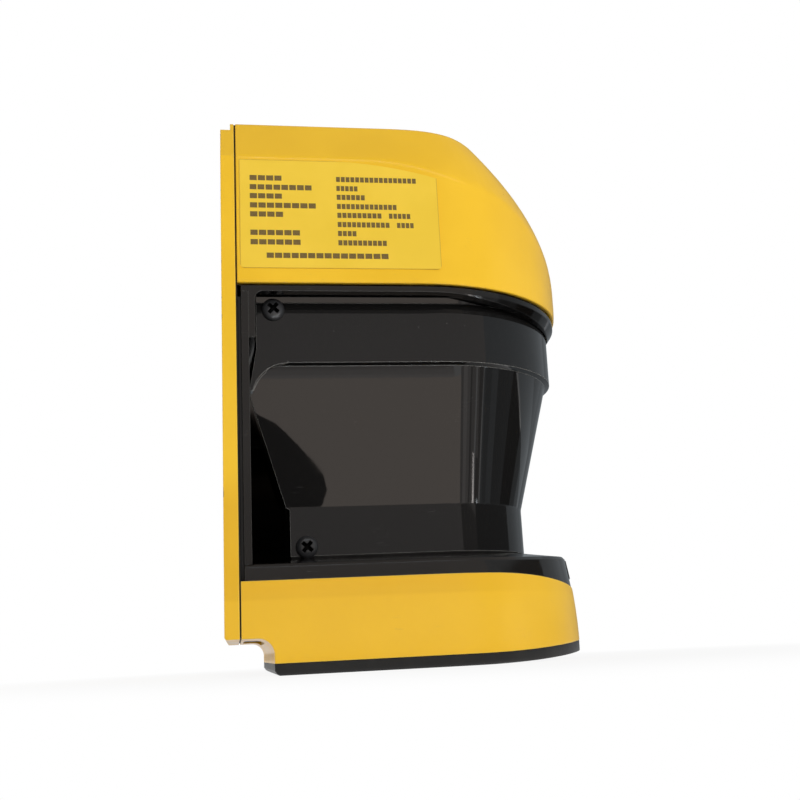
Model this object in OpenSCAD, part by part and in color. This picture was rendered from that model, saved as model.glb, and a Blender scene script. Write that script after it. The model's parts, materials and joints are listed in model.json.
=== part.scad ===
// Safety laser scanner: painted head and base housings around a smoked window,
// behind which a motor turns a slanted mirror under a fixed receiver.
// +Z is up, the front faces -Y, and the origin lies on the scan axis at the foot.
// "Depth" always means the distance measured forward from the flat rear face.

/* [Overall] */
// Height from the foot to the roof
height = 152; // [146:1:160]
// Width across the flat sides of the head
head_w = 101; // [98:0.5:104]
// Depth of the scan axis
axis_depth = 61.5; // [60:0.5:63]
// Wall thickness of the painted housings
wall = 2.4; // [1.8:0.1:3]

/* [Head] */
// How far behind the scan axis the head's round front is centred
head_arc_back = 7.7; // [6.5:0.1:9.5]
// Height of the head's lower rim
rim_z = 100.9; // [99.5:0.2:102.5]
// How far below the roof the side walls fold into the facets
facet_drop = 14.7; // [12:0.1:18]
// Width of the roof between the two facets
roof_w = 83; // [78:1:88]
// How far above the rim the nose begins to lean back
nose_rise = 6.9; // [5:0.1:12]
// How far the nose has leaned back at roof height
nose_setback = 26; // [20:1:30]
// Radius of the roof's front edge
roof_edge_r = 2; // [1:0.5:4]
// How far the head's front tucks in towards its rim
rim_tuck = 0.8; // [0:0.1:1]

/* [Base] */
// How far behind the scan axis the base's round front is centred
base_arc_back = 9.5; // [8.5:0.1:11.5]
// How far each side of the foot stands outside the head
base_flare = 0.7; // [0.5:0.1:1.5]
// Height of the painted base at its sides
base_z = 22.9; // [22:0.1:24]
// Thickness of the bottom plate
plate_t = 2.9; // [2.4:0.1:3.4]
// Height at which the base starts to narrow upwards
flare_z = 18; // [15:0.5:20]
// Radius of the lengthwise sweep under the front of the base
sweep_r = 300; // [280:10:420]
// Depth at which the underside starts to sweep up
sweep_depth = 64; // [63.5:0.5:68]
// Radius of the dip in the painted base's upper edge
dip_r = 150; // [130:10:200]
// Depth at which the upper edge starts to dip
dip_depth = 68; // [64:1:72]
// Height of the cable notch under the rear edge
notch_h = 9; // [8:0.5:10]
// Depth of the cable notch
notch_depth = 12; // [10:0.5:13]
// Radius of the notch's inner corner
notch_r = 4; // [2:0.5:6]

/* [Trim] */
// Height of the trim's outer edge above the painted base
trim_h = 4.1; // [3.4:0.1:5]
// How far the trim's outer edge climbs towards the front
trim_climb = 2.4; // [1:0.1:2.8]
// Height of the flat ring that the window stands on above the trim's edge
seat_rise = 3; // [2.9:0.1:3.6]
// Thickness of the trim's skin
trim_t = 2; // [1.6:0.1:2.4]

/* [Rear] */
// Thickness of the rear housing
rear_t = 3.7; // [3.2:0.1:4.4]
// Depth of the rebate along the roof's rear edge
rebate_d = 2.7; // [1.5:0.1:3]
// Height of the rebate along the roof's rear edge
rebate_h = 3.2; // [1:0.1:4]
// Thickness of the seal behind the rear seam
seam_seal_t = 0.4; // [0.3:0.1:0.8]
// How far the seal lies inside the seam
seam_recess = 0.5; // [0.2:0.1:1]
// Sideways distance between the mounting threads
mount_dx = 42; // [38:1:44]
// Upright distance between the mounting threads
mount_dz = 75; // [70:1:78]
// Height of the lower mounting threads
mount_z = 50; // [48:1:52]
// Core radius of the mounting threads
mount_hole_r = 2.1; // [1.6:0.1:2.6]
// Depth of the mounting threads
mount_hole_len = 8; // [6:0.5:8]

/* [Window] */
// How far the window's upper flange lies inside the head's sides
flange_in = 10.6; // [10:0.1:11.5]
// How far the flange reaches below the head's rim
flange_drop = 18.9; // [17:0.1:20]
// How far the pane lies inside the flange
pane_in = 2; // [1.7:0.1:2.9]
// Width of the window's foot
foot_w = 56.1; // [54:0.2:58]
// Height of the window's upright foot
foot_h = 13.9; // [12:0.1:16]
// Wall thickness of the window
window_t = 2.2; // [1.8:0.1:2.6]
// Thickness of the window's two seals
window_seal_t = 0.6; // [0.4:0.1:0.8]

/* [Scan mirror] */
// Height of the scan plane
scan_z = 63; // [61:0.5:65]
// Radius of the mirror as seen from above
mirror_r = 17; // [14:0.5:19]
// Thickness of the mirror glass
mirror_t = 2; // [1.5:0.1:3]
// Radius of the motor shaft
shaft_r = 2; // [1.5:0.1:2.5]
// Running clearance between shaft and bearings
shaft_play = 0.05; // [0.02:0.01:0.08]
// Radius of the motor can
motor_r = 17; // [15:0.5:18]
// Radius of the encoder disc
encoder_r = 15; // [13:0.5:16]
// Number of slots in the encoder disc
encoder_slots = 24; // [12:1:36]

/* [Receiver] */
// Radius of the receiver lens
lens_r = 20; // [16:0.5:21]
// Radius of the laser barrel in the lens
laser_r = 5; // [4:0.5:6]
// Height of the receiver tube
tube_h = 22; // [18:1:24]

/* [Screws] */
// Shank radius of the M3 screws
screw_r = 1.5; // [1.2:0.1:1.7]
// Head radius of the M3 screws
screw_head_r = 2.85; // [2.5:0.05:3]
// Height of the pan heads
screw_head_h = 2; // [1.6:0.1:2.4]

/* [Hidden] */

housing_yellow = "#f0c43c";
label_yellow = "#f2cf4a";
gloss_black = "#262424";
satin_black = "#2e2c2b";
seal_black = "#151515";
smoked = "#3a3532";
steel = "#b9bcc0";
screw_black = "#3b3a3a";
board_green = "#1f6b45";
chip_black = "#202226";
copper = "#b8793a";
amber = "#c8862a";
glass_clear = "#b8c8d0";

// Clearances and small gaps
play = 0.3;
fit_gap = 0.05;
eps = 0.01;

// Widths and heights that follow from the sizes above
base_w = head_w + 2 * base_flare;
head_arc_depth = axis_depth - head_arc_back;
base_arc_depth = axis_depth - base_arc_back;
facet_z = height - facet_drop;
nose_z = rim_z + nose_rise;
trim_z = base_z + trim_h;
seat_z = trim_z + seat_rise;
foot_z = seat_z + foot_h;
flange_z = rim_z - flange_drop;
flange_w = head_w - 2 * flange_in;
pane_w = flange_w - 2 * pane_in;

// Depths of the layers behind the seam
seam_depth = rear_t + seam_seal_t;
sheet_t = 1;
column_depth = seam_depth + sheet_t;
column_t = 1.9;
column_w = 5.5;
wall_front = column_depth + column_t;
frame_half = head_w / 2 - 1;

// Plan steps of the lofted skins
arc_steps = 48;
head_steps = 13;
edge_steps = 4;
base_steps = 8;

function from_rear(d) = axis_depth - d;

// ---------------------------------------------------------------- lofting
// Skin over a stack of rings with equal point counts, lowest ring first.
module loft(rings) {
    n = len(rings[0]);
    last = len(rings) - 1;
    sides = [
        for (k = [0 : last - 1])
            for (i = [0 : n - 1])
                let (a = k * n + i, b = k * n + (i + 1) % n)
                    each [[a, b, b + n], [a, b + n, a + n]]
    ];
    bottom = [for (i = [n - 1 : -1 : 0]) i];
    top = [for (i = [0 : n - 1]) last * n + i];
    polyhedron(points = [for (r = rings) each r], faces = concat([bottom], sides, [top]), convexity = 4);
}

// Ring with flat sides and an elliptic front.
function d_ring(z, half_w, front_r, arc_depth, rear_depth) = concat(
    [[half_w, from_rear(rear_depth), z]],
    [
        for (i = [0 : arc_steps])
            let (a = 180 * i / arc_steps)
                [half_w * cos(a), from_rear(arc_depth + front_r * sin(a)), z]
    ],
    [[-half_w, from_rear(rear_depth), z]]
);

// Flat plan with straight sides and a true round front.
module d_plan(half_w, arc_depth, rear_depth) {
    translate([-half_w, from_rear(arc_depth)])
        square([2 * half_w, arc_depth - rear_depth]);
    intersection() {
        translate([0, from_rear(arc_depth)])
            circle(r = half_w, $fn = 192);
        translate([-half_w, from_rear(arc_depth + half_w)])
            square([2 * half_w, half_w]);
    }
}

// Extrudes a profile drawn in (Y, Z) to the given width along X.
module side_prism(width) {
    rotate([90, 0, 90])
        linear_extrude(height = width, center = true)
            children();
}

// Extrudes an outline drawn in (X, Z) forward from one depth to another.
module rear_prism(d0, d1) {
    translate([0, from_rear(d0), 0])
        rotate([90, 0, 0])
            linear_extrude(height = d1 - d0)
                children();
}

// Cylinder that runs forward from one depth to another.
module depth_cylinder(x, z, r, d0, d1, r_end = -1, sides = 48) {
    translate([x, from_rear(d0), z])
        rotate([90, 0, 0])
            cylinder(r1 = r, r2 = r_end < 0 ? r : r_end, h = d1 - d0, $fn = sides);
}

// Block given by half width, two depths and two heights.
module depth_block(x0, x1, d0, d1, z0, z1) {
    translate([x0, from_rear(d1), z0])
        cube([x1 - x0, d1 - d0, z1 - z0]);
}

module mirrored() {
    children();
    mirror([1, 0, 0])
        children();
}

// ---------------------------------------------------------------- head form
facet_lean = (head_w - roof_w) / 2 / (height - facet_z);
facet_offset = sqrt(1 + facet_lean * facet_lean);
nose_power = 1.66;
nose_start_depth = 11;
nose_start_slope = 33;
blunt_low = 2;
blunt_rise = 1.33;

function nose_t(z) = max(0, z - nose_z) / (height - nose_z);
function edge_in(z, top) =
    let (k = max(0, z - (top - roof_edge_r)))
        roof_edge_r - sqrt(max(0, roof_edge_r * roof_edge_r - k * k));
function facet_half(z, inset) =
    head_w / 2 - (z - facet_z) * facet_lean - inset * facet_offset;
function nose_lean(z) =
    nose_setback * nose_power / (height - nose_z) * pow(nose_t(z), nose_power - 1);
function rim_t(z) = max(0, nose_z - z) / (nose_z - rim_z);
function nose_depth(z, inset) =
    head_arc_depth + head_w / 2 - nose_setback * pow(nose_t(z), nose_power)
    - rim_tuck * min(1, rim_t(z) * rim_t(z))
    - inset * sqrt(1 + nose_lean(z) * nose_lean(z));
function power_sign(v, p) = sign(v) * pow(abs(v), p);

// Half width of the head, rounded where the facets meet the roof.
function head_half(z, inset, top) =
    let (
        k = z - (top - roof_edge_r),
        corner = facet_half(top, inset) - roof_edge_r * (facet_offset - facet_lean)
    )
    k < roof_edge_r * facet_lean / facet_offset
        ? facet_half(z, inset)
        : corner + sqrt(max(0, roof_edge_r * roof_edge_r - k * k));

function head_ring(z, inset, top, rear_depth) =
    let (
        t = nose_t(z),
        e = 2 / (blunt_low + blunt_rise * t),
        start = nose_start_depth + nose_start_slope * t,
        half = head_half(z, inset, top),
        reach = nose_depth(z, inset) - edge_in(z, top) - start
    )
    concat(
        [[half, from_rear(rear_depth), z]],
        [
            for (i = [0 : arc_steps])
                let (a = 180 * i / arc_steps)
                    [half * power_sign(cos(a), e), from_rear(start + reach * pow(abs(sin(a)), e)), z]
        ],
        [[-half, from_rear(rear_depth), z]]
    );

function head_levels(low, top) = [
    for (k = [0 : head_steps]) low + (top - roof_edge_r - low) * k / head_steps,
    for (k = [1 : edge_steps]) top - roof_edge_r * (1 - sin(90 * k / edge_steps))
];

// Head volume: round-nosed prism under a lofted cap with facets and nose.
module head_form(inset, low, rear_depth) {
    top = height - inset;
    intersection() {
        translate([0, 0, low])
            linear_extrude(height = top - low)
                d_plan(head_w / 2 - inset, head_arc_depth, rear_depth);
        loft([for (z = head_levels(low, top)) head_ring(z, inset, top, rear_depth - 1)]);
    }
}

// ---------------------------------------------------------------- base form
base_draft_r = 120;
draft_z = 5;

function base_half(z) =
    base_w / 2 - base_flare * max(0, z - flare_z) / (trim_z - flare_z);
function base_front(z) =
    let (k = z - draft_z)
        base_w / 2 - (base_draft_r - sqrt(base_draft_r * base_draft_r - k * k));

function base_ring(z, inset, rear_depth) =
    d_ring(z, base_half(z) - inset, base_front(z) - inset, base_arc_depth, rear_depth);

// Base volume with drafted front, between two heights.
module base_form(inset, low, top, rear_depth) {
    levels = [for (k = [0 : base_steps]) low + (top - low) * k / base_steps];
    kink = [for (z = concat(levels, [flare_z])) if (z > low && z < top) z];
    loft([for (z = concat([low], sorted(kink), [top])) base_ring(z, inset, rear_depth)]);
}

// Sorted copy of a list without repeats.
function sorted(v) =
    len(v) == 0 ? [] :
    let (m = min(v))
        concat([m], sorted([for (x = v) if (x > m) x]));

reach = 140;

// Profile in (Y, Z) of everything below the swept underside raised by a step.
module below_sweep(step) {
    translate([from_rear(sweep_depth), step - 40])
        square([reach, 40]);
    difference() {
        translate([from_rear(reach), step - 40])
            square([reach - sweep_depth, 60]);
        translate([from_rear(sweep_depth), sweep_r])
            circle(r = sweep_r - step, $fn = 720);
    }
}

// Profile in (Y, Z) of everything below the dipping upper edge.
module below_dip(step) {
    translate([from_rear(dip_depth), -10])
        square([reach, base_z + step + 10]);
    intersection() {
        translate([from_rear(reach), -10])
            square([reach - dip_depth, base_z + step + 10]);
        translate([from_rear(dip_depth), base_z - dip_r])
            circle(r = dip_r + step, $fn = 720);
    }
}

// Profile in (Y, Z) of the cable notch.
module notch_profile() {
    difference() {
        translate([from_rear(notch_depth), -5])
            square([notch_depth + 5, notch_h + 5]);
        translate([from_rear(notch_depth), notch_h - notch_r])
            difference() {
                square(notch_r);
                translate([notch_r, 0])
                    circle(r = notch_r, $fn = 64);
            }
    }
}

// ---------------------------------------------------------------- rear parts
rear_screw_sites = [
    [head_w / 2 - 5.5, rim_z + 5.8],
    [roof_w / 2 - 7.5, height - wall - 3],
    [head_w / 2 - 5.5, 15.2]
];
screw_boss_r = 3.2;
screw_len = 11;
board_depth = 10;
board_post_in = 4;
main_board_half = head_w / 2 - wall - 6.1;
main_board_z = rim_z + 5;
main_board_top = height - 10.6;
board_post_x = main_board_half - board_post_in;
board_post_z = [main_board_z + board_post_in, main_board_top - board_post_in];
board_t = 1.6;
flex_w = 20;
flex_slot = flex_w + 2;
groove_t = 1.6;
mount_boss_r = 5.5;
foot_corner_r = 0.7;

function rear_outline(i) = [
    [base_w / 2 - i, notch_h + i],
    [base_w / 2 - i, flare_z],
    [head_w / 2 - i, trim_z],
    [head_w / 2 - i, facet_z - i * (facet_offset - 1)],
    [roof_w / 2 - i * facet_offset + i * facet_lean, height - i],
    [-roof_w / 2 + i * facet_offset - i * facet_lean, height - i],
    [-head_w / 2 + i, facet_z - i * (facet_offset - 1)],
    [-head_w / 2 + i, trim_z],
    [-base_w / 2 + i, flare_z],
    [-base_w / 2 + i, notch_h + i]
];

module mount_sites() {
    for (x = [-1, 1])
        for (k = [0, 1])
            translate([x * mount_dx / 2, 0, mount_z + k * mount_dz])
                children();
}

// Waste outside the rounded rear edge at the foot of the rear housing.
module foot_corner() {
    side_prism(2 * base_w)
        translate([from_rear(foot_corner_r), notch_h + foot_corner_r])
            difference() {
                translate([0, -2 * foot_corner_r])
                    square(2 * foot_corner_r);
                circle(r = foot_corner_r, $fn = 48);
            }
}

module rear_housing() {
    color(housing_yellow)
        difference() {
            union() {
                rear_prism(0, rear_t)
                    polygon(rear_outline(0));
                mount_sites()
                    depth_cylinder(0, 0, mount_boss_r, rear_t - eps, mount_hole_len + 1.4);
                mirrored()
                    for (z = board_post_z)
                        depth_cylinder(board_post_x, z, 2.4, rear_t - eps, board_depth);
            }
            mount_sites()
                depth_cylinder(0, 0, mount_hole_r, -1, mount_hole_len);
            mirrored()
                for (s = rear_screw_sites) {
                    depth_cylinder(s[0], s[1], screw_r + 0.2, -1, rear_t + 1);
                    depth_cylinder(s[0], s[1], screw_head_r + 0.25, -eps, 1.9, screw_r + 0.2);
                }
            depth_block(-head_w / 2, head_w / 2, -1, rebate_d, height - rebate_h, height + 1);
            depth_block(
                -flex_slot / 2, flex_slot / 2, rear_t - groove_t, rear_t + 1, notch_h + 4, rim_z + 12
            );
            foot_corner();
        }
}

seal_inner = 6;

module rear_seal() {
    color(seal_black)
        difference() {
            rear_prism(rear_t, seam_depth)
                difference() {
                    polygon(rear_outline(seam_recess));
                    polygon(rear_outline(seal_inner));
                }
            mirrored()
                for (s = rear_screw_sites)
                    depth_cylinder(s[0], s[1], screw_r + 0.2, 0, seam_depth + 1);
            depth_block(-flex_slot / 2, flex_slot / 2, 0, seam_depth + 1, notch_h + 2, notch_h + 12);
        }
}

// ---------------------------------------------------------------- head cover
module head_cover() {
    color(housing_yellow)
        difference() {
            union() {
                difference() {
                    head_form(0, rim_z, seam_depth);
                    head_form(wall, rim_z - 1, seam_depth - 1);
                }
                mirrored()
                    for (s = [rear_screw_sites[0], rear_screw_sites[1]])
                        depth_cylinder(s[0], s[1], screw_boss_r, seam_depth, seam_depth + screw_len);
            }
            mirrored()
                for (s = [rear_screw_sites[0], rear_screw_sites[1]])
                    depth_cylinder(s[0], s[1], screw_r, seam_depth - 1, seam_depth + screw_len - 2);
            snap_hooks(0.1);
        }
}

// Snap hooks that hold the head plate: [wall face across, centre depth].
snap_w = 10;
snap_h = 1.2;
snap_out = 0.7;
snap_z = rim_z + 0.2;
snap_sites = [[head_w / 2 - wall, 20], [head_w / 2 - wall, 44]];
snap_front_depth = head_arc_depth + head_w / 2 - rim_tuck - wall;

// Hook or groove of given growth around each snap.
module snap_hooks(grow) {
    mirrored()
        for (s = snap_sites)
            depth_block(
                s[0] - play - 1, s[0] + snap_out + grow,
                s[1] - snap_w / 2 - grow, s[1] + snap_w / 2 + grow,
                snap_z - grow, snap_z + snap_h + grow
            );
    depth_block(
        -snap_w / 2 - grow, snap_w / 2 + grow,
        snap_front_depth - 2, snap_front_depth + snap_out + grow - play,
        snap_z - grow, snap_z + snap_h + grow
    );
}

// ---------------------------------------------------------------- base
deck_t = 2.2;
dip_run = base_arc_depth + base_w / 2 - dip_depth;
dip_drop = dip_r - sqrt(dip_r * dip_r - dip_run * dip_run);
deck_z = base_z - dip_drop - deck_t - play;
motor_hole_r = motor_r + play;
bottom_screw_in = 8.2;
bottom_screw_sites = [
    [base_w / 2 - bottom_screw_in, notch_depth + 8],
    [base_w / 2 - bottom_screw_in, base_arc_depth + 4],
    [base_w / 2 - 21.2, base_arc_depth + base_w / 2 - 17.2]
];
bottom_boss_r = 3.4;

module base_housing() {
    color(housing_yellow)
        difference() {
            union() {
                difference() {
                    base_skin(0);
                    difference() {
                        base_form(wall, 1, trim_z, seam_depth - 1);
                        side_prism(2 * base_w)
                            notch_roof();
                    }
                }
                intersection() {
                    base_form(wall / 2, 1, trim_z, seam_depth);
                    translate([0, 0, deck_z])
                        linear_extrude(height = deck_t)
                            d_plan(base_w / 2, base_arc_depth, seam_depth);
                }
                for (s = bottom_screw_sites)
                    mirrored()
                        translate([s[0], from_rear(s[1]), bottom_boss_z(s[1])])
                            cylinder(r = bottom_boss_r, h = deck_z + eps - bottom_boss_z(s[1]), $fn = 40);
                mirrored()
                    depth_cylinder(
                        rear_screw_sites[2][0], rear_screw_sites[2][1],
                        screw_boss_r, seam_depth, seam_depth + screw_len
                    );
                mirrored()
                    for (s = power_post_sites)
                        translate([s[0], from_rear(s[1]), power_board_z + board_t])
                            cylinder(r = 2.4, h = deck_z + eps - power_board_z - board_t, $fn = 32);
            }
            translate([0, 0, deck_z - 1])
                cylinder(r = motor_hole_r, h = deck_t + 2, $fn = 96);
            motor_screw_sites()
                translate([0, 0, deck_z - 1])
                    cylinder(r = motor_screw_r, h = deck_t + 2, $fn = 32);
            for (s = bottom_screw_sites)
                mirrored()
                    translate([s[0], from_rear(s[1]), 0])
                        cylinder(r = screw_r, h = deck_z - 2, $fn = 32);
            mirrored()
                depth_cylinder(
                    rear_screw_sites[2][0], rear_screw_sites[2][1],
                    screw_r, seam_depth - 1, seam_depth + screw_len - 2
                );
            depth_block(
                -socket_w / 2, socket_w / 2, socket_depth,
                socket_depth + socket_d, notch_h - 1, notch_h + wall + 1
            );
            depth_block(
                -flex_slot / 2, flex_slot / 2, seam_depth - 1,
                seam_depth + 8, deck_z - 1, deck_z + deck_t + 1
            );
        }
}

// Height of the bottom plate's upper face at a depth.
function bottom_boss_z(d) =
    d < sweep_depth ? plate_t + 0.2 :
    sweep_r - sqrt(pow(sweep_r - plate_t - 0.2, 2) - pow(d - sweep_depth, 2));

// Painted skin between the bottom plate and the trim, with the cable notch cut away.
module base_skin(inset) {
    intersection() {
        base_form(inset, 0, trim_z, seam_depth);
        side_prism(2 * base_w)
            difference() {
                below_dip(0);
                below_sweep(plate_t);
                notch_profile();
            }
    }
}

// Roof and inner wall over the cable notch.
module notch_roof() {
    translate([from_rear(notch_depth + wall), plate_t])
        square([notch_depth + wall, notch_h + wall - plate_t]);
}

module bottom_plate() {
    edge = 1.2;
    color(satin_black)
        difference() {
            intersection() {
                loft([
                    base_ring(0, edge, notch_depth + edge),
                    base_ring(0.35 * edge, 0.45 * edge, notch_depth + 0.45 * edge),
                    base_ring(edge, 0.1, notch_depth),
                    base_ring(draft_z, 0.1, notch_depth),
                    base_ring(2 * draft_z, 0.1, notch_depth)
                ]);
                side_prism(2 * base_w)
                    difference() {
                        below_sweep(plate_t);
                        below_sweep(0);
                    }
            }
            for (s = bottom_screw_sites)
                mirrored()
                    translate([s[0], from_rear(s[1]), bottom_boss_z(s[1]) - plate_t - 0.2]) {
                        translate([0, 0, -1])
                            cylinder(r = screw_r + 0.2, h = plate_t + 2, $fn = 32);
                        translate([0, 0, -eps])
                            cylinder(r1 = screw_head_r + 0.25, r2 = screw_r + 0.2, h = 1.6, $fn = 48);
                        translate([0, 0, -2])
                            cylinder(r = screw_head_r + 0.25, h = 2, $fn = 48);
                    }
        }
}

// ---------------------------------------------------------------- trim
seat_half = foot_w / 2 + 2;
lens_panel_w = 34;
lens_panel_t = 1.4;
panel_z0 = trim_z - 4.5;
panel_z1 = trim_z + 0.6;

// Ring along the trim's outer edge, which climbs towards the front.
function trim_edge_ring(inset) = [
    for (p = base_ring(trim_z, inset, seam_depth + 1))
        let (
            d = axis_depth - p[1],
            rise = trim_climb * pow(max(0, d - dip_depth) / dip_run, 2),
            z = trim_z + rise,
            q = (base_front(z) - inset) / (base_front(trim_z) - inset)
        )
        d > base_arc_depth
            ? [p[0] * q, from_rear(base_arc_depth + (d - base_arc_depth) * q), z]
            : [p[0], p[1], z]
];

// Ring lowered by a step and ended at the columns.
function trim_cut_ring(ring, step) =
    [for (p = ring) [p[0], min(p[1], from_rear(column_depth)), p[2] - step]];

// Trim volume: follows the base, then slopes in to the window's seat.
module trim_form(inset, low) {
    low_ring = base_ring(low, inset, column_depth);
    edge_ring = trim_cut_ring(trim_edge_ring(inset), 0.8 + inset);
    round_ring = trim_cut_ring(trim_edge_ring(inset + 0.7), inset);
    seat_ring = d_ring(seat_z - inset, seat_half, seat_half, axis_depth, column_depth);
    loft([low_ring, edge_ring, round_ring, seat_ring]);
}

module base_trim() {
    color(gloss_black)
        difference() {
            intersection() {
                trim_form(0, base_z - 8);
                side_prism(2 * base_w)
                    difference() {
                        translate([from_rear(reach), 0])
                            square([2 * reach, 60]);
                        below_dip(0);
                    }
            }
            trim_form(trim_t, base_z - 9);
            translate([0, 0, base_z])
                cylinder(r = foot_w / 2 - window_t - 1, h = 20, $fn = 128);
            mirrored()
                depth_block(
                    frame_half - column_w - play, base_w, seam_depth,
                    wall_front + play, trim_z - 0.2, seat_z + 5
                );
            depth_block(
                -foot_w / 2 + window_t + 1, foot_w / 2 - window_t - 1, 0, axis_depth, base_z, seat_z + 5
            );
            lens_panel(play / 3, 10);
        }
}

// Curved panel that closes the display opening in the trim's front.
module lens_panel(grow, back) {
    intersection() {
        difference() {
            base_form(0, panel_z0 - 4, panel_z1 + 4, base_arc_depth);
            base_form(back, panel_z0 - 5, panel_z1 + 5, base_arc_depth - 1);
        }
        depth_block(
            -lens_panel_w / 2 - grow, lens_panel_w / 2 + grow, base_arc_depth,
            reach, panel_z0 - grow, panel_z1 + grow
        );
    }
}

module indicator_lens() {
    color(smoked)
        lens_panel(0, lens_panel_t);
}

// ---------------------------------------------------------------- head plate
plate_spigot = 2.1;
rim_gap = 0.5;
lip_t = 1.5;
lip_in = 1;
lip_w = 3;
plate_low = rim_z - rim_gap - lip_t;
window_set = 0.3;
window_z0 = seat_z + window_seal_t;
window_z1 = rim_z + window_set;
pocket_z = window_z1 + window_seal_t;
skirt_z = rim_z - 5;
skirt_in = 2.1;
skirt_t = 1.6;
skirt_depth = 62;
bar_t = 1.7;
bar_z = rim_z - 14.9;
upper_screw = [13.8, rim_z - 4.1];
lower_screw = [22.1, seat_z + 3];
lens_hole_r = lens_r + 2;

module head_plate() {
    color(gloss_black)
        difference() {
            union() {
                translate([0, 0, plate_low])
                    linear_extrude(height = lip_t)
                        difference() {
                            d_plan(head_w / 2 - lip_in, head_arc_depth, column_depth);
                            d_plan(head_w / 2 - lip_in - lip_w, head_arc_depth, wall_front + bar_t);
                        }
                translate([0, 0, rim_z - rim_gap])
                    linear_extrude(height = rim_gap + plate_spigot)
                        d_plan(head_w / 2 - wall - play, head_arc_depth - rim_tuck, column_depth);
                snap_hooks(0);
                front_skirt();
                depth_block(
                    -frame_half, frame_half, wall_front, wall_front + bar_t, bar_z, plate_low + lip_t / 2
                );
                mirrored()
                    corner_fillet();
                mirrored()
                    depth_block(
                        flange_w / 2 - window_t - 9, flange_w / 2 - window_t - play,
                        wall_front + bar_t / 2, upper_screw[0] + 4.5,
                        upper_screw[1] - 4, rim_z + plate_spigot / 2
                    );
            }
            translate([0, 0, plate_low - 1])
                linear_extrude(height = pocket_z - plate_low + 1)
                    difference() {
                        d_plan(flange_w / 2 + play, axis_depth, wall_front + bar_t);
                        d_plan(flange_w / 2 - window_t - play, axis_depth, wall_front + bar_t - 1);
                    }
            translate([0, 0, plate_low - 1])
                cylinder(r = lens_hole_r, h = plate_spigot + rim_gap + lip_t + 2, $fn = 128);
            mirrored()
                side_hole(upper_screw, screw_r);
            depth_block(-flex_slot / 2, flex_slot / 2, 0, board_depth + board_t, rim_z - 10, rim_z + 5);
        }
}

// Sloping skirt under the front of the lip, fading out along the sides.
module front_skirt() {
    low_r = head_w / 2 - lip_in - skirt_in;
    top_r = head_w / 2 - lip_in;
    difference() {
        intersection() {
            translate([0, from_rear(head_arc_depth), skirt_z])
                cylinder(r1 = low_r, r2 = top_r, h = plate_low - skirt_z, $fn = 192);
            side_prism(2 * head_w)
                polygon([
                    [from_rear(skirt_depth), plate_low],
                    [from_rear(head_arc_depth + head_w / 2), skirt_z],
                    [from_rear(head_arc_depth + head_w / 2), plate_low]
                ]);
        }
        translate([0, from_rear(head_arc_depth), skirt_z - 1])
            cylinder(r = low_r - skirt_t, h = 10, $fn = 192);
        translate([0, 0, skirt_z - 1])
            cylinder(r = flange_w / 2 + play, h = 10, $fn = 192);
    }
}

// Rounded corner between the lip and the upright bar at each side.
module corner_fillet() {
    r = 2.2;
    translate([frame_half - 1, 0, 0])
        side_prism(2)
            translate([from_rear(wall_front + bar_t + r), plate_low - r])
                difference() {
                    square(r + eps);
                    circle(r = r, $fn = 48);
                }
}

// Hole or pin along X through a point given as [depth, height].
module side_hole(site, r, x0 = 0, x1 = 60, sides = 32) {
    translate([x0, from_rear(site[0]), site[1]])
        rotate([0, 90, 0])
            cylinder(r = r, h = x1 - x0, $fn = sides);
}

// ---------------------------------------------------------------- rear frame
web_t = 1.6;
wall_t = 1.6;
pane_corner_z = flange_z - 8;
latch_z = 60;
latch_t = 1.8;
foot_depth = 17.6;
pane_foot_depth = 16.6;
frame_low = deck_z + deck_t;
wall_line_z = plate_low + 0.1;

// Front line of the chamber wall, in depth and height.
function wall_line(back) = [
    [wall_front - back, wall_line_z],
    [wall_front - back, pane_corner_z],
    [pane_foot_depth - back, foot_z],
    [foot_depth - back, foot_z - 0.6],
    [foot_depth - back, window_z0 - window_seal_t]
];

// Depth of the chamber wall's front at a height beside the leaning pane.
function wall_depth(z) =
    pane_foot_depth - (z - foot_z) * (pane_foot_depth - wall_front) / (pane_corner_z - foot_z);

function to_side(points) = [for (p = points) [from_rear(p[0]), p[1]]];
function reversed(v) = [for (i = [len(v) - 1 : -1 : 0]) v[i]];

// Outline in (X, Z) of the window's opening towards the chamber wall.
function opening_outline(inset) =
    let (
        right = [
            [foot_w / 2 - inset, seat_z],
            [foot_w / 2 - inset, foot_z],
            [pane_w / 2 - inset, flange_z - 1.8],
            [flange_w / 2 - inset, flange_z],
            [flange_w / 2 - inset, plate_low]
        ]
    )
    concat(right, [for (p = reversed(right)) [-p[0], p[1]]]);

module rear_frame() {
    color(satin_black)
        difference() {
            union() {
                depth_block(
                    -frame_half + 4.5, frame_half - 4.5, seam_depth, column_depth, frame_low, plate_low
                );
                mirrored()
                    depth_block(
                        frame_half - column_w, frame_half, column_depth - eps,
                        wall_front, trim_z, plate_low
                    );
                intersection() {
                    rear_prism(seam_depth, foot_depth + 1)
                        polygon(opening_outline(0));
                    side_prism(head_w)
                        polygon(to_side(concat(wall_line(0), reversed(wall_line(wall_t)))));
                }
                intersection() {
                    rear_prism(column_depth - eps, foot_depth)
                        difference() {
                            polygon(opening_outline(2));
                            polygon(opening_outline(2 + web_t));
                        }
                    side_prism(head_w)
                        polygon(to_side(concat(wall_line(wall_t / 2), [
                            [seam_depth + sheet_t / 2, seat_z],
                            [seam_depth + sheet_t / 2, wall_line_z]
                        ])));
                }
                mirrored()
                    frame_lugs();
            }
            mount_sites()
                depth_cylinder(0, 0, mount_boss_r + 0.4, 0, mount_hole_len + 1.7);
            mirrored()
                side_hole(lower_screw, screw_r);
            depth_block(-flex_slot / 2, flex_slot / 2, 0, column_depth + 1, 0, seat_z - 2);
        }
}

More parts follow.
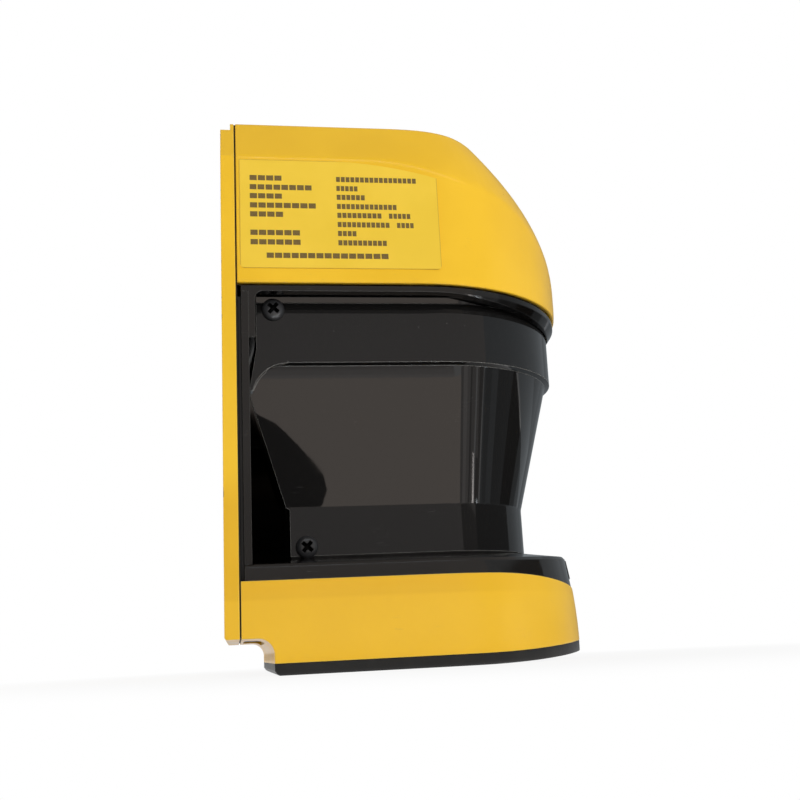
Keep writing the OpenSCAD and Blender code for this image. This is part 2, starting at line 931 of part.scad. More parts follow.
// Screw lug at the window's foot and the latch lug on the web.
module frame_lugs() {
    x1 = foot_w / 2 - window_t - play;
    depth_block(x1 - 7, x1, foot_depth - 0.5, lower_screw[0] + 4, window_z0, lower_screw[1] + 3.6);
    depth_block(
        pane_w / 2 - 9, pane_w / 2 - 4, column_depth,
        wall_depth(latch_z + latch_t) - wall_t / 2, latch_z, latch_z + latch_t
    );
}

// ---------------------------------------------------------------- window
flange_round = 0.8;
corner_r = 9.7;
corner_centre = [17.5, pane_corner_z - 2];

function window_rings(inset, low, top) = [
    for (s = [
        [low, foot_w / 2],
        [foot_z, foot_w / 2],
        [flange_z - 1.8, pane_w / 2],
        [flange_z - 0.1, flange_w / 2 - 0.15],
        [top - 2.4, flange_w / 2],
        [top - 1.9, flange_w / 2 - (inset > 0 ? 0 : 0.3 * flange_round)],
        [top - 1.4, flange_w / 2 - (inset > 0 ? 0 : flange_round)],
        [top, flange_w / 2 - (inset > 0 ? 0 : flange_round)]
    ])
        d_ring(s[0], s[1] - inset, s[1] - inset, axis_depth, column_depth)
];

module window() {
    color(smoked)
        difference() {
            union() {
                difference() {
                    loft(window_rings(0, window_z0, window_z1));
                    loft(window_rings(window_t, window_z0 - 1, window_z1 + 1));
                }
                mirrored()
                    pane_corner();
            }
            side_prism(2 * head_w)
                polygon(to_side(concat(
                    [[wall_front + bar_t + 0.4, height], [wall_front + bar_t + 0.4, bar_z - 0.4]],
                    [for (p = wall_line(-fit_gap)) if (p[1] < bar_z - 1) p],
                    [[foot_depth + fit_gap, 0], [0, 0], [0, height]]
                )));
            mirrored() {
                side_hole(upper_screw, screw_r + 0.2);
                side_hole(lower_screw, screw_r + 0.2);
            }
        }
}

// Raised corner where the flange turns down behind the pane.
module pane_corner() {
    translate([flange_w / 2 - 1.75, 0, 0])
        side_prism(3.3)
            difference() {
                translate([from_rear(corner_centre[0]), pane_corner_z])
                    square([corner_centre[0] - column_depth, flange_z - pane_corner_z + 1]);
                translate([from_rear(corner_centre[0]), corner_centre[1]])
                    circle(r = corner_r, $fn = 96);
            }
}

module window_seal(z, outer, inner) {
    color(seal_black)
        translate([0, 0, z])
            linear_extrude(height = window_seal_t)
                difference() {
                    d_plan(outer, axis_depth, foot_depth + play);
                    d_plan(inner, axis_depth, 0);
                }
}

module upper_window_seal() {
    window_seal(window_z1, flange_w / 2 - flange_round - 0.1, flange_w / 2 - window_t + 0.3);
}

module lower_window_seal() {
    window_seal(seat_z, foot_w / 2 - 0.4, foot_w / 2 - window_t + 0.3);
}

// ---------------------------------------------------------------- screws
// Pan head screw along +X from its seating face, with a cross recess.
module side_screw(site, face_x, shank_len) {
    cross_w = 0.8;
    difference() {
        union() {
            side_hole(site, screw_r - fit_gap, face_x - shank_len, face_x + eps);
            side_hole(site, screw_head_r, face_x, face_x + 0.6 * screw_head_h, 48);
            translate([face_x + 0.6 * screw_head_h - eps, from_rear(site[0]), site[1]])
                rotate([0, 90, 0])
                    cylinder(r1 = screw_head_r, r2 = 0.72 * screw_head_r, h = 0.4 * screw_head_h, $fn = 48);
        }
        for (a = [20, 110])
            translate([face_x + screw_head_h, from_rear(site[0]), site[1]])
                rotate([a, 0, 0])
                    cube([2.4, 2.9, cross_w], center = true);
    }
}

module window_screws() {
    color(screw_black)
        mirrored() {
            side_screw(upper_screw, flange_w / 2, 8);
            side_screw(lower_screw, foot_w / 2, 8);
        }
}

// Countersunk screw along +Z with its head at the bottom.
module flat_screw(len) {
    difference() {
        union() {
            cylinder(r1 = screw_head_r, r2 = screw_r - fit_gap, h = 1.5, $fn = 48);
            cylinder(r = screw_r - fit_gap, h = len, $fn = 32);
        }
        for (a = [0, 90])
            rotate([0, 0, a])
                cube([2.9, 0.8, 1.6], center = true);
    }
}

module rear_screws() {
    color(screw_black)
        mirrored()
            for (s = rear_screw_sites)
                translate([s[0], from_rear(0.25), s[1]])
                    rotate([90, 0, 0])
                        flat_screw(screw_len);
}

module bottom_screws() {
    color(screw_black)
        mirrored()
            for (s = bottom_screw_sites)
                translate([s[0], from_rear(s[1]), bottom_boss_z(s[1]) - plate_t + 0.05])
                    flat_screw(9);
}

// ---------------------------------------------------------------- label
label_t = 0.15;
label_low = rim_z + 4;
label_d0 = 5;
label_d1 = 59.4;
label_top = facet_z - 1;
label_bend = 28;
label_bend_r = 115;

module rating_label() {
    r = 1.2;
    color(label_yellow)
        translate([-head_w / 2 - label_t / 2, 0, 0])
            side_prism(label_t)
                difference() {
                    union() {
                        translate([from_rear(label_bend), label_low])
                            square([label_bend - label_d0, label_top - label_low]);
                        intersection() {
                            translate([from_rear(label_d1), label_low])
                                square([label_d1 - label_bend, label_top - label_low]);
                            translate([from_rear(label_bend), label_top - label_bend_r])
                                circle(r = label_bend_r, $fn = 720);
                        }
                    }
                    for (d = [label_d0, label_d1])
                        translate([from_rear(d), label_low])
                            rotate(d == label_d0 ? 90 : 0)
                                difference() {
                                    translate([-1, -1])
                                        square(r + 1);
                                    translate([r, r])
                                        circle(r = r, $fn = 32);
                                }
                }
}

// ---------------------------------------------------------------- inlet
socket_w = 42;
socket_d = 5.6;
socket_depth = 4.9;
socket_pins = 15;

module inlet_socket() {
    color(satin_black)
        difference() {
            union() {
                depth_block(
                    -socket_w / 2 + 0.15, socket_w / 2 - 0.15, socket_depth + 0.15,
                    socket_depth + socket_d - 0.15, notch_h + 0.4, notch_h + wall + eps
                );
                depth_block(
                    -socket_w / 2 - 1, socket_w / 2 + 1, seam_depth,
                    socket_depth + socket_d + 0.6, notch_h + wall, notch_h + wall + 1.4
                );
            }
            for (i = [0 : socket_pins - 1])
                for (row = [-1, 1])
                    translate([
                        (i - (socket_pins - 1) / 2) * 2.54,
                        from_rear(socket_depth + socket_d / 2) + row * 1.27,
                        notch_h
                    ])
                        cube([0.9, 0.9, 3], center = true);
        }
}

// ---------------------------------------------------------------- motor
can_z0 = plate_t + 3.4;
flange_seat_z = deck_z + deck_t;
can_z1 = flange_seat_z + 3.4;
bearing_r = 5;
bearing_h = 3;
lower_bearing_z = can_z0 + 1;
upper_bearing_z = can_z1 - 1 - bearing_h;
winding_r1 = motor_r - 1.6;
winding_r0 = 10.6;
magnet_r = 10;
magnet_z0 = can_z0 + 5.4;
magnet_z1 = can_z1 - 5.4;
motor_flange_r = motor_r + 5;
flange_t = 1.6;

module motor_can() {
    color(steel)
        difference() {
            union() {
                translate([0, 0, can_z0])
                    cylinder(r = motor_r, h = can_z1 - can_z0, $fn = 96);
                translate([0, 0, flange_seat_z])
                    cylinder(r = motor_flange_r, h = flange_t, $fn = 96);
            }
            motor_screw_sites()
                translate([0, 0, flange_seat_z - 1])
                    cylinder(r = motor_screw_r, h = flange_t + 2, $fn = 32);
            translate([0, 0, can_z0 - 1])
                cylinder(r = shaft_r + 1, h = can_z1 - can_z0 + 2, $fn = 48);
            translate([0, 0, can_z0 + 1])
                cylinder(r = bearing_r, h = bearing_h + 1.4, $fn = 64);
            translate([0, 0, upper_bearing_z - 1.4])
                cylinder(r = bearing_r, h = bearing_h + 1.4, $fn = 64);
            translate([0, 0, magnet_z0 - 1])
                cylinder(r = winding_r1, h = magnet_z1 - magnet_z0 + 2, $fn = 96);
        }
}

motor_screw_r = 1;
motor_screw_ring = motor_r + 2.6;

module motor_screw_sites() {
    for (a = [60, 180, 300])
        rotate([0, 0, a])
            translate([motor_screw_ring, 0, 0])
                children();
}

module motor_screws() {
    color(screw_black)
        motor_screw_sites() {
            translate([0, 0, flange_seat_z + flange_t])
                cylinder(r = 1.9, h = 1.4, $fn = 40);
            translate([0, 0, deck_z + fit_gap])
                cylinder(r = motor_screw_r - fit_gap, h = deck_t + flange_t, $fn = 32);
        }
}

module motor_winding() {
    teeth = 9;
    color(copper)
        translate([0, 0, magnet_z0 - 1])
            difference() {
                cylinder(r = winding_r1, h = magnet_z1 - magnet_z0 + 2, $fn = 96);
                translate([0, 0, -1])
                    cylinder(r = winding_r0, h = 40, $fn = 96);
                for (i = [0 : teeth - 1])
                    rotate([0, 0, 360 * i / teeth])
                        translate([winding_r0 - 1, -0.8, -1])
                            cube([winding_r1 - winding_r0 - 0.4, 1.6, 40]);
            }
}

module bearing(z) {
    color(steel)
        translate([0, 0, z])
            difference() {
                cylinder(r = bearing_r, h = bearing_h, $fn = 64);
                translate([0, 0, -1])
                    cylinder(r = shaft_r + shaft_play, h = bearing_h + 2, $fn = 64);
                for (side = [-0.01, bearing_h - 0.34])
                    translate([0, 0, side])
                        difference() {
                            cylinder(r = bearing_r - 0.9, h = 0.35, $fn = 64);
                            cylinder(r = shaft_r + 0.9, h = 0.35, $fn = 64);
                        }
            }
}

module lower_bearing() {
    bearing(lower_bearing_z);
}

module upper_bearing() {
    bearing(upper_bearing_z);
}

holder_z0 = scan_z - mirror_r - 5.5;
holder_r = mirror_r + 2;
hub_r = 6;
encoder_z = can_z1 + 4;
encoder_t = 0.8;

module motor_shaft() {
    collar_h = 0.8;
    color(steel) {
        translate([0, 0, can_z0 + 0.4])
            cylinder(r = shaft_r, h = holder_z0 + 2 - can_z0 - 0.4, $fn = 64);
        translate([0, 0, lower_bearing_z + bearing_h + 0.2])
            cylinder(r = shaft_r + 0.8, h = collar_h, $fn = 64);
        translate([0, 0, upper_bearing_z + bearing_h + 0.2])
            cylinder(r = shaft_r + 0.8, h = collar_h / 2, $fn = 64);
    }
}

module rotor_magnet() {
    color(chip_black)
        translate([0, 0, magnet_z0])
            difference() {
                cylinder(r = magnet_r, h = magnet_z1 - magnet_z0, $fn = 96);
                translate([0, 0, -1])
                    cylinder(r = shaft_r, h = 40, $fn = 64);
            }
}

module encoder_disc() {
    color(steel)
        translate([0, 0, encoder_z])
            difference() {
                union() {
                    cylinder(r = encoder_r, h = encoder_t, $fn = 128);
                    cylinder(r = shaft_r + 2, h = 3, $fn = 64);
                }
                translate([0, 0, -1])
                    cylinder(r = shaft_r, h = 10, $fn = 64);
                for (i = [0 : encoder_slots - 1])
                    rotate([0, 0, 360 * i / encoder_slots])
                        translate([encoder_r - 3.4, -0.6, -1])
                            cube([2.2, 1.2, 4]);
            }
}

// ---------------------------------------------------------------- mirror
// Everything below the slanted plane through the scan point, lowered by a step.
module below_slant(step) {
    translate([0, 0, scan_z - step * sqrt(2)])
        rotate([45, 0, 0])
            translate([-60, -60, -120])
                cube([120, 120, 120]);
}

module scan_mirror() {
    color(glass_clear)
        difference() {
            intersection() {
                translate([0, 0, scan_z - mirror_r - 10])
                    cylinder(r = mirror_r, h = 2 * mirror_r + 20, $fn = 96);
                below_slant(0);
            }
            below_slant(mirror_t);
        }
}

module mirror_holder() {
    color(satin_black)
        difference() {
            union() {
                intersection() {
                    translate([0, 0, holder_z0])
                        cylinder(r = holder_r, h = 2 * mirror_r + 8, $fn = 96);
                    below_slant(mirror_t);
                }
                translate([0, 0, holder_z0 - 3])
                    cylinder(r = hub_r, h = 3.01, $fn = 64);
            }
            translate([0, 0, holder_z0 - 4])
                cylinder(r = shaft_r, h = 6, $fn = 64);
            intersection() {
                translate([0, 0, holder_z0 + 2])
                    cylinder(r = holder_r - 2.2, h = 60, $fn = 96);
                below_slant(mirror_t + 2);
                for (x = [-1, 1])
                    translate([x > 0 ? 1.2 : -41.2, -40, holder_z0 + 2])
                        cube([40, 80, 60]);
            }
            for (a = [0 : 60 : 300])
                rotate([0, 0, a + 30])
                    translate([holder_r - 7, 0, holder_z0 - 1])
                        cylinder(r = 2.2, h = 4, $fn = 32);
        }
}

module encoder_sensor() {
    x0 = encoder_r - 4;
    color(chip_black)
        difference() {
            translate([x0, -4, can_z1])
                cube([9, 8, encoder_z + encoder_t + 2.6 - can_z1]);
            translate([0, 0, encoder_z - 0.6])
                cylinder(r = encoder_r + 0.6, h = encoder_t + 1.2, $fn = 96);
        }
}

// ---------------------------------------------------------------- receiver
holder_top = rim_z + plate_spigot;
lens_rest_z = holder_top - 3;
lens_edge_t = 3;
tube_z0 = holder_top + 3.4;

module lens_holder() {
    color(satin_black)
        difference() {
            union() {
                translate([0, 0, plate_low])
                    cylinder(r = lens_hole_r - fit_gap, h = holder_top - plate_low + 1, $fn = 128);
                translate([0, 0, holder_top])
                    cylinder(r = lens_hole_r + 3, h = tube_z0 - holder_top, $fn = 128);
            }
            translate([0, 0, plate_low - 1])
                cylinder(r = lens_r - 1, h = 20, $fn = 128);
            translate([0, 0, lens_rest_z])
                cylinder(r = lens_r, h = 20, $fn = 128);
        }
}

module receiver_lens() {
    bulge = 1.6;
    sphere_r = (lens_r * lens_r + bulge * bulge) / (2 * bulge);
    color(glass_clear)
        difference() {
            union() {
                translate([0, 0, lens_rest_z])
                    cylinder(r = lens_r - fit_gap, h = lens_edge_t, $fn = 128);
                intersection() {
                    translate([0, 0, lens_rest_z + lens_edge_t + bulge - sphere_r])
                        sphere(r = sphere_r, $fn = 200);
                    translate([0, 0, lens_rest_z])
                        cylinder(r = lens_r - fit_gap, h = lens_edge_t + bulge, $fn = 128);
                }
            }
            translate([0, 0, lens_rest_z - 5])
                cylinder(r = laser_r + fit_gap, h = 20, $fn = 64);
        }
}

module laser_module() {
    color(steel)
        difference() {
            union() {
                translate([0, 0, plate_low + 1])
                    cylinder(r = laser_r, h = 16, $fn = 64);
                translate([0, 0, lens_rest_z + lens_edge_t + 2])
                    cylinder(r = laser_r + 1.4, h = 3, $fn = 64);
            }
            translate([0, 0, plate_low])
                cylinder(r = 2.2, h = 5, $fn = 48);
        }
}

module receiver_tube() {
    t = 1.6;
    r0 = lens_hole_r + 2;
    r1 = 9;
    arm_z = lens_rest_z + lens_edge_t + 5;
    color(satin_black)
        difference() {
            union() {
                difference() {
                    translate([0, 0, tube_z0])
                        cylinder(r1 = r0, r2 = r1, h = tube_h, $fn = 128);
                    translate([0, 0, tube_z0 - eps])
                        cylinder(r1 = r0 - t, r2 = r1 - t, h = tube_h + 2 * eps, $fn = 128);
                }
                intersection() {
                    for (a = [90, 210, 330])
                        rotate([0, 0, a])
                            translate([0, -0.8, arm_z])
                                cube([r0, 1.6, 4]);
                    translate([0, 0, tube_z0])
                        cylinder(r1 = r0 - t / 2, r2 = r1 - t / 2, h = tube_h, $fn = 128);
                }
                translate([0, 0, arm_z])
                    cylinder(r = laser_r + 1.6, h = 4, $fn = 64);
            }
            translate([0, 0, arm_z - 1])
                cylinder(r = laser_r + fit_gap, h = 6, $fn = 64);
        }
}

receiver_z = tube_z0 + tube_h;

module receiver_board() {
    color(board_green)
        difference() {
            translate([0, 0, receiver_z])
                linear_extrude(height = board_t)
                    square([30, 24], center = true);
            for (x = [-1, 1])
                translate([x * 12.4, 9, receiver_z - 1])
                    cylinder(r = 1.2, h = 4, $fn = 32);
        }
}

module photodiode() {
    color(steel)
        translate([0, 0, receiver_z - 2.4])
            cylinder(r = 4.2, h = 2.4, $fn = 64);
}

// ---------------------------------------------------------------- boards
main_plug_z = main_board_z + 8;

module main_board() {
    color(board_green)
        difference() {
            depth_block(
                -main_board_half, main_board_half,
                board_depth, board_depth + board_t, main_board_z, main_board_top
            );
            mirrored()
                for (s = [rear_screw_sites[0]])
                    depth_cylinder(s[0], s[1], screw_boss_r + 0.4, 0, 40);
        }
}

module main_board_parts() {
    d = board_depth + board_t;
    top = main_board_top - 6;
    color(chip_black) {
        depth_block(10 - main_board_half, 24 - main_board_half, d, d + chip_t, top - 14, top);
        depth_block(32 - main_board_half, 41 - main_board_half, d, d + chip_t, top - 7, top);
        depth_block(main_board_half - 28, main_board_half - 13, d, d + chip_t, top - 12, top);
        mirrored()
            depth_block(
                main_board_half - 12, main_board_half - 6,
                d, d + terminal_t, main_board_z + 7, main_board_z + 13
            );
        depth_block(
            -flex_slot / 2, flex_slot / 2, board_depth - 1.6, board_depth, main_plug_z, main_plug_z + 3
        );
    }
}

chip_t = 1.4;
terminal_t = 2.4;

power_board_z = plate_t + 4.5;
power_half = base_w / 2 - wall - 10.8;
power_post_sites = [[power_half - 11, 26], [power_half - 4, base_arc_depth + 10]];
power_plug_depth = 20;
power_plug_z = power_board_z + board_t + 2;

module power_board() {
    color(board_green)
        difference() {
            translate([0, 0, power_board_z])
                linear_extrude(height = board_t)
                    difference() {
                        d_plan(power_half, base_arc_depth, notch_depth + wall + 1);
                        circle(r = motor_r + 1, $fn = 96);
                    }
            for (s = bottom_screw_sites)
                mirrored()
                    translate([s[0], from_rear(s[1]), 0])
                        cylinder(r = bottom_boss_r + 0.5, h = 40, $fn = 32);
        }
}

module power_board_parts() {
    top = power_board_z + board_t;
    color(chip_black) {
        for (y = [-5, 4])
            translate([-motor_r - 7, y, top])
                cylinder(r = 4, h = deck_z - top - 1.2, $fn = 40);
        translate([power_half - 14, 3, top])
            cube([9, 10, deck_z - top - 3.2]);
        translate([-8, from_rear(36), top])
            cube([14, 10, chip_t]);
        depth_block(
            -flex_slot / 2, flex_slot / 2, power_plug_depth - 1, power_plug_depth + 3, top, power_plug_z
        );
    }
}

display_depth = base_arc_depth + base_front(panel_z0) - 11;

module indicator_board() {
    color(board_green)
        depth_block(-18, 18, display_depth, display_depth + board_t, deck_z + deck_t, seat_z - trim_t - 1.2);
}

module indicator_parts() {
    d = display_depth + board_t;
    color(amber) {
        depth_block(-6, 6, d, d + 5, deck_z + deck_t + 2.2, deck_z + deck_t + 6.8);
        for (x = [-14, -10.5, 10.5, 14])
            depth_cylinder(x, deck_z + deck_t + 4.6, 1.3, d, d + 4.6);
    }
}

// ---------------------------------------------------------------- flex cable
flex_t = 0.3;
flex_plug_depth = board_depth - 0.8;
flex_run = [
    [flex_plug_depth, main_plug_z],
    [flex_plug_depth, rim_z + 9],
    [rear_t - groove_t / 2, rim_z + 4],
    [rear_t - groove_t / 2, deck_z + 2.5],
    [notch_depth / 2, deck_z - 0.9],
    [notch_depth + wall, deck_z - 0.9],
    [power_plug_depth - 1, power_plug_z + flex_t / 2],
    [power_plug_depth + 2, power_plug_z + flex_t / 2]
];

function unit(v) = v / norm(v);
function left_of(v) = [-v[1], v[0]];

// Line at a constant distance beside a path, mitred at its bends.
function beside(path, d) = [
    for (i = [0 : len(path) - 1])
        let (
            n0 = left_of(unit(path[max(i, 1)] - path[max(i, 1) - 1])),
            last = len(path) - 1,
            n1 = left_of(unit(path[min(i, last - 1) + 1] - path[min(i, last - 1)])),
            m = unit(n0 + n1)
        )
            path[i] + m * d / (m * n1)
];

module flex_cable() {
    color(amber)
        side_prism(flex_w)
            polygon(to_side(concat(beside(flex_run, flex_t / 2), reversed(beside(flex_run, -flex_t / 2)))));
}

// ---------------------------------------------------------------- assembly
rear_housing();
rear_seal();
head_cover();
base_housing();
bottom_plate();
base_trim();
indicator_lens();
head_plate();
rear_frame();
window();
upper_window_seal();
lower_window_seal();
window_screws();
rear_screws();
bottom_screws();
motor_screws();
rating_label();
inlet_socket();
motor_can();
motor_winding();
lower_bearing();
upper_bearing();
motor_shaft();
rotor_magnet();
encoder_disc();
mirror_holder();
scan_mirror();
encoder_sensor();
lens_holder();
receiver_lens();
laser_module();
receiver_tube();
receiver_board();
photodiode();
main_board();
main_board_parts();
power_board();
power_board_parts();
indicator_board();
indicator_parts();
flex_cable();
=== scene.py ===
import json
import math

import bmesh
import bpy
from mathutils import Matrix, Vector

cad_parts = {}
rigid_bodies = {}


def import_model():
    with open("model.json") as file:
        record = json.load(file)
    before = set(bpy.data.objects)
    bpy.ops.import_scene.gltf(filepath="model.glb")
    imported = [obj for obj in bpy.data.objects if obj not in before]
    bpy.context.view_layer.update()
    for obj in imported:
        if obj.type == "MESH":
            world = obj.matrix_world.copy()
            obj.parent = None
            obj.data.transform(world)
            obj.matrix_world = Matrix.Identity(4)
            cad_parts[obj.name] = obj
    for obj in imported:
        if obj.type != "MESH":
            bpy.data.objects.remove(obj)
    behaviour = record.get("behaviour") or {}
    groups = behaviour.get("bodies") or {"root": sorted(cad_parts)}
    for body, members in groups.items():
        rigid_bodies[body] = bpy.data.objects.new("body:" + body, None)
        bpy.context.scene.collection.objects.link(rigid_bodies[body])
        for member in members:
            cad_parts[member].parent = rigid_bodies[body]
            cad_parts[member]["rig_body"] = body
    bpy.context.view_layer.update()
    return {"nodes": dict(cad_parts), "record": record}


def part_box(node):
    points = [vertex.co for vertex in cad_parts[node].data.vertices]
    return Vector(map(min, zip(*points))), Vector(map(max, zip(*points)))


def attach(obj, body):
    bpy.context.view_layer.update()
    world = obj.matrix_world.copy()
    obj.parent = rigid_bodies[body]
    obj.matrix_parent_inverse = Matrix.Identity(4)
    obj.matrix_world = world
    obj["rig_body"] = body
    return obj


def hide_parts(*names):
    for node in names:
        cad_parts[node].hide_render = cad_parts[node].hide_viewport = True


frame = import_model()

scene = bpy.context.scene
MM = 0.001
MM_PER_M = 1000

# Landmarks of the scanner, in metres. Depth is counted forward from the flat rear face.
REAR_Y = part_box("rear_housing")[1].y
LABEL_LOW, LABEL_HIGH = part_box("rating_label")


def at_depth(mm):
    """Y of a depth in millimetres, counted forward from the rear face."""
    return REAR_Y - mm * MM


# ---------------------------------------------------------------- studio
SENSOR_MM = 36
LENS_MM = 46.45
CAMERA_PLACE = (-0.31038, 0.0587, 0.00457)
CAMERA_AIM = (0, 0.00711, 0.0808)
CAMERA_ROLL = -2.895
WORLD_LIGHT = 0.44
LAMP_AIM = (0, 0, 0.08)
# Name, place, size and power of each lamp.
LAMPS = [
    ("key_softbox", (-1.1, -0.30, 0.10), (0.9, 0.5), 11.0),
    ("front_softbox", (-0.25, -1.2, 0.3), (0.8, 0.8), 3.4),
    ("far_softbox", (1.1, 0.3, 0.4), (0.8, 0.8), 6.5),
    ("rear_softbox", (0.1, 1.2, 0.4), (0.8, 0.8), 5.0),
]
FLOOR_PAPER = (0.62, 0.62, 0.62, 1)
FLOOR_HALF = 4.0
# Distances from the middle between which the floor turns to its full white, and its whiteness at each.
FLOOR_FADE = (0.07, 0.2, 0.9, 1.0)
FADE_SOCKETS = ("From Min", "From Max", "To Min", "To Max")

# Cards that only gloss can see. They give the leaning window its dark corner and upright streaks.
# A card on the floor lies above those of a lower layer.
CARD_LIFT = 0.0003
BAND_LAYER, FLOOR_LAYER, CORNER_LAYER, STREAK_LAYER = 0, 1, 2, 3
ROOM_LEFT, ROOM_RIGHT = -1.0, 1.0
ROOM_FRONT, ROOM_BACK = -1.1, 1.0
ROOM_TOP = 1.3
FAR_WALL_GLOW, CEILING_GLOW = 0.26, 0.34
REAR_GLOW, EDGE_LIGHT_GLOW = 0.5, 5.0
WINDOW_FLOOR_GLOW, DARK_CORNER_GLOW, EDGE_GLINT_GLOW = 1.0, 0.02, 8.0
SAND = (1.19, 1.04, 0.93)
WARM = (1.0, 0.94, 0.91)
COOL = (0.86, 0.94, 1.0)
# Dim walls round the scanner: start, end, low, high and strength of each panel.
SIDE_PANELS = [
    (-1.1, 1.0, 0.0, 0.10, 0.21), (-0.55, 1.0, 0.10, 0.22, 0.44), (-1.1, -0.55, 0.10, 0.22, 0.14),
    (-1.1, 1.0, 0.22, 1.3, 0.50),
]
FRONT_PANELS = [
    (-1.0, 1.0, 0.0, 0.115, 0.50), (-1.0, 0.18, 0.115, 0.25, 0.05), (0.18, 1.0, 0.115, 0.25, 0.33),
    (-1.0, 1.0, 0.25, 1.3, 0.40),
]
DARK_CORNER = [
    (-0.268, 0.066), (-0.255, 0.048), (-0.238, 0.039), (-0.221, 0.034), (-0.205, 0.030), (-0.181, 0.0245),
    (-0.167, 0.022), (-0.150, 0.022), (-0.135, 0.025), (-0.115, 0.032), (-0.100, 0.13), (-0.280, 0.13),
]
# Floor bands beyond the scanner's side: start, end and strength. They shade the top of the window.
FAR_EDGE, FAR_BACK = -0.11, 0.5
FAR_BANDS = [(-0.318, -0.328, 0.90), (-0.328, -0.340, 0.75), (-0.340, -0.36, 0.60), (-0.36, -0.99, 0.48)]
EDGE_GLINT = [(-0.098, 0.07), (-0.114, 0.07), (-0.114, -0.10), (-0.098, -0.10)]
WINDOW_FLOOR = [(-0.118, 0.13), (-0.320, 0.13), (-0.320, -0.150), (-0.118, -0.06)]
# Place of the upright plane, start, end, low and high of two upright cards.
REAR_GLINT = (0.98, -0.95, -0.30, 0.0, 0.45)
EDGE_LIGHT = (-0.94, -1.0, 0.5, 1.0, 1.14)
# Directions at the far and near end, reach, colour and strength of each streak on the floor.
FLOOR_STREAKS = [
    ((24.0, 26.5), (26.0, 28.6), (0.09, 1.0), WARM, 0.48),
    ((26.5, 30.0), (28.6, 32.6), (0.09, 1.0), WARM, 0.84),
    ((30.0, 33.0), (32.6, 36.0), (0.09, 1.0), WARM, 0.60),
    ((33.0, 34.5), (36.0, 37.8), (0.09, 1.0), WARM, 0.24),
    ((34.5, 38.0), (37.8, 42.4), (0.09, 1.0), WARM, 0.50),
    ((38.0, 39.8), (42.4, 45.4), (0.10, 0.22), WARM, 8.5),
    ((38.0, 39.8), (42.4, 45.4), (0.22, 1.0), WARM, 0.6),
    ((39.8, 45.4), (45.4, 50.5), (0.09, 1.0), WARM, 0.22),
    ((45.4, 46.6), (50.5, 53.5), (0.10, 0.16), COOL, 30.0),
    ((45.4, 46.6), (50.5, 53.5), (0.16, 1.0), COOL, 0.35),
    ((46.6, 54.0), (53.5, 62.0), (0.09, 1.0), COOL, 0.20),
    ((54.0, 61.0), (62.0, 72.0), (0.09, 1.0), COOL, 0.30),
    ((61.0, 80.0), (72.0, 88.0), (0.09, 1.0), COOL, 0.12),
    ((80.0, 104.0), (88.0, 98.0), (0.09, 1.0), COOL, 0.01),
    ((104.0, 116.0), (98.0, 109.0), (0.09, 1.4), COOL, 0.14),
    ((116.0, 170.0), (109.0, 170.0), (0.09, 1.4), COOL, 0.27),
]


def place_camera():
    data = bpy.data.cameras.new("camera")
    data.sensor_width = SENSOR_MM
    data.lens = LENS_MM
    camera = bpy.data.objects.new("camera", data)
    scene.collection.objects.link(camera)
    place = Vector(CAMERA_PLACE)
    turn = (Vector(CAMERA_AIM) - place).to_track_quat("-Z", "Y").to_matrix().to_4x4()
    roll = Matrix.Rotation(math.radians(CAMERA_ROLL), 4, "Z")
    camera.matrix_world = Matrix.Translation(place) @ turn @ roll
    scene.camera = camera


def softbox(name, place, size, watts):
    """Rectangular lamp that looks at the middle of the scanner and that gloss doesn't mirror."""
    data = bpy.data.lights.new(name, "AREA")
    data.shape = "RECTANGLE"
    data.size, data.size_y = size
    data.energy = watts
    lamp = bpy.data.objects.new(name, data)
    lamp.location = place
    lamp.rotation_euler = (Vector(LAMP_AIM) - Vector(place)).to_track_quat("-Z", "Y").to_euler()
    lamp.visible_glossy = False
    scene.collection.objects.link(lamp)


def background_rays(nodes, links):
    """1 for rays that should meet the white background instead of the studio light."""
    path = nodes.new("ShaderNodeLightPath")
    total = path.outputs["Is Camera Ray"]
    for name in ("Is Glossy Ray", "Is Transmission Ray"):
        either = nodes.new("ShaderNodeMath")
        either.operation = "MAXIMUM"
        links.new(total, either.inputs[0])
        links.new(path.outputs[name], either.inputs[1])
        total = either.outputs[0]
    return total


def build_world():
    world = bpy.data.worlds.new("studio")
    world.use_nodes = True
    nodes, links = world.node_tree.nodes, world.node_tree.links
    nodes.clear()
    soft = nodes.new("ShaderNodeBackground")
    soft.inputs["Strength"].default_value = WORLD_LIGHT
    white = nodes.new("ShaderNodeBackground")
    for shader in (soft, white):
        shader.inputs["Color"].default_value = (1, 1, 1, 1)
    blend = nodes.new("ShaderNodeMixShader")
    out = nodes.new("ShaderNodeOutputWorld")
    links.new(background_rays(nodes, links), blend.inputs[0])
    links.new(soft.outputs[0], blend.inputs[1])
    links.new(white.outputs[0], blend.inputs[2])
    links.new(blend.outputs[0], out.inputs["Surface"])
    scene.world = world


def flat_card(name, corners, material):
    mesh = bpy.data.meshes.new(name)
    mesh.from_pydata(corners, [], [tuple(range(len(corners)))])
    mesh.materials.append(material)
    card = bpy.data.objects.new(name, mesh)
    scene.collection.objects.link(card)
    return card


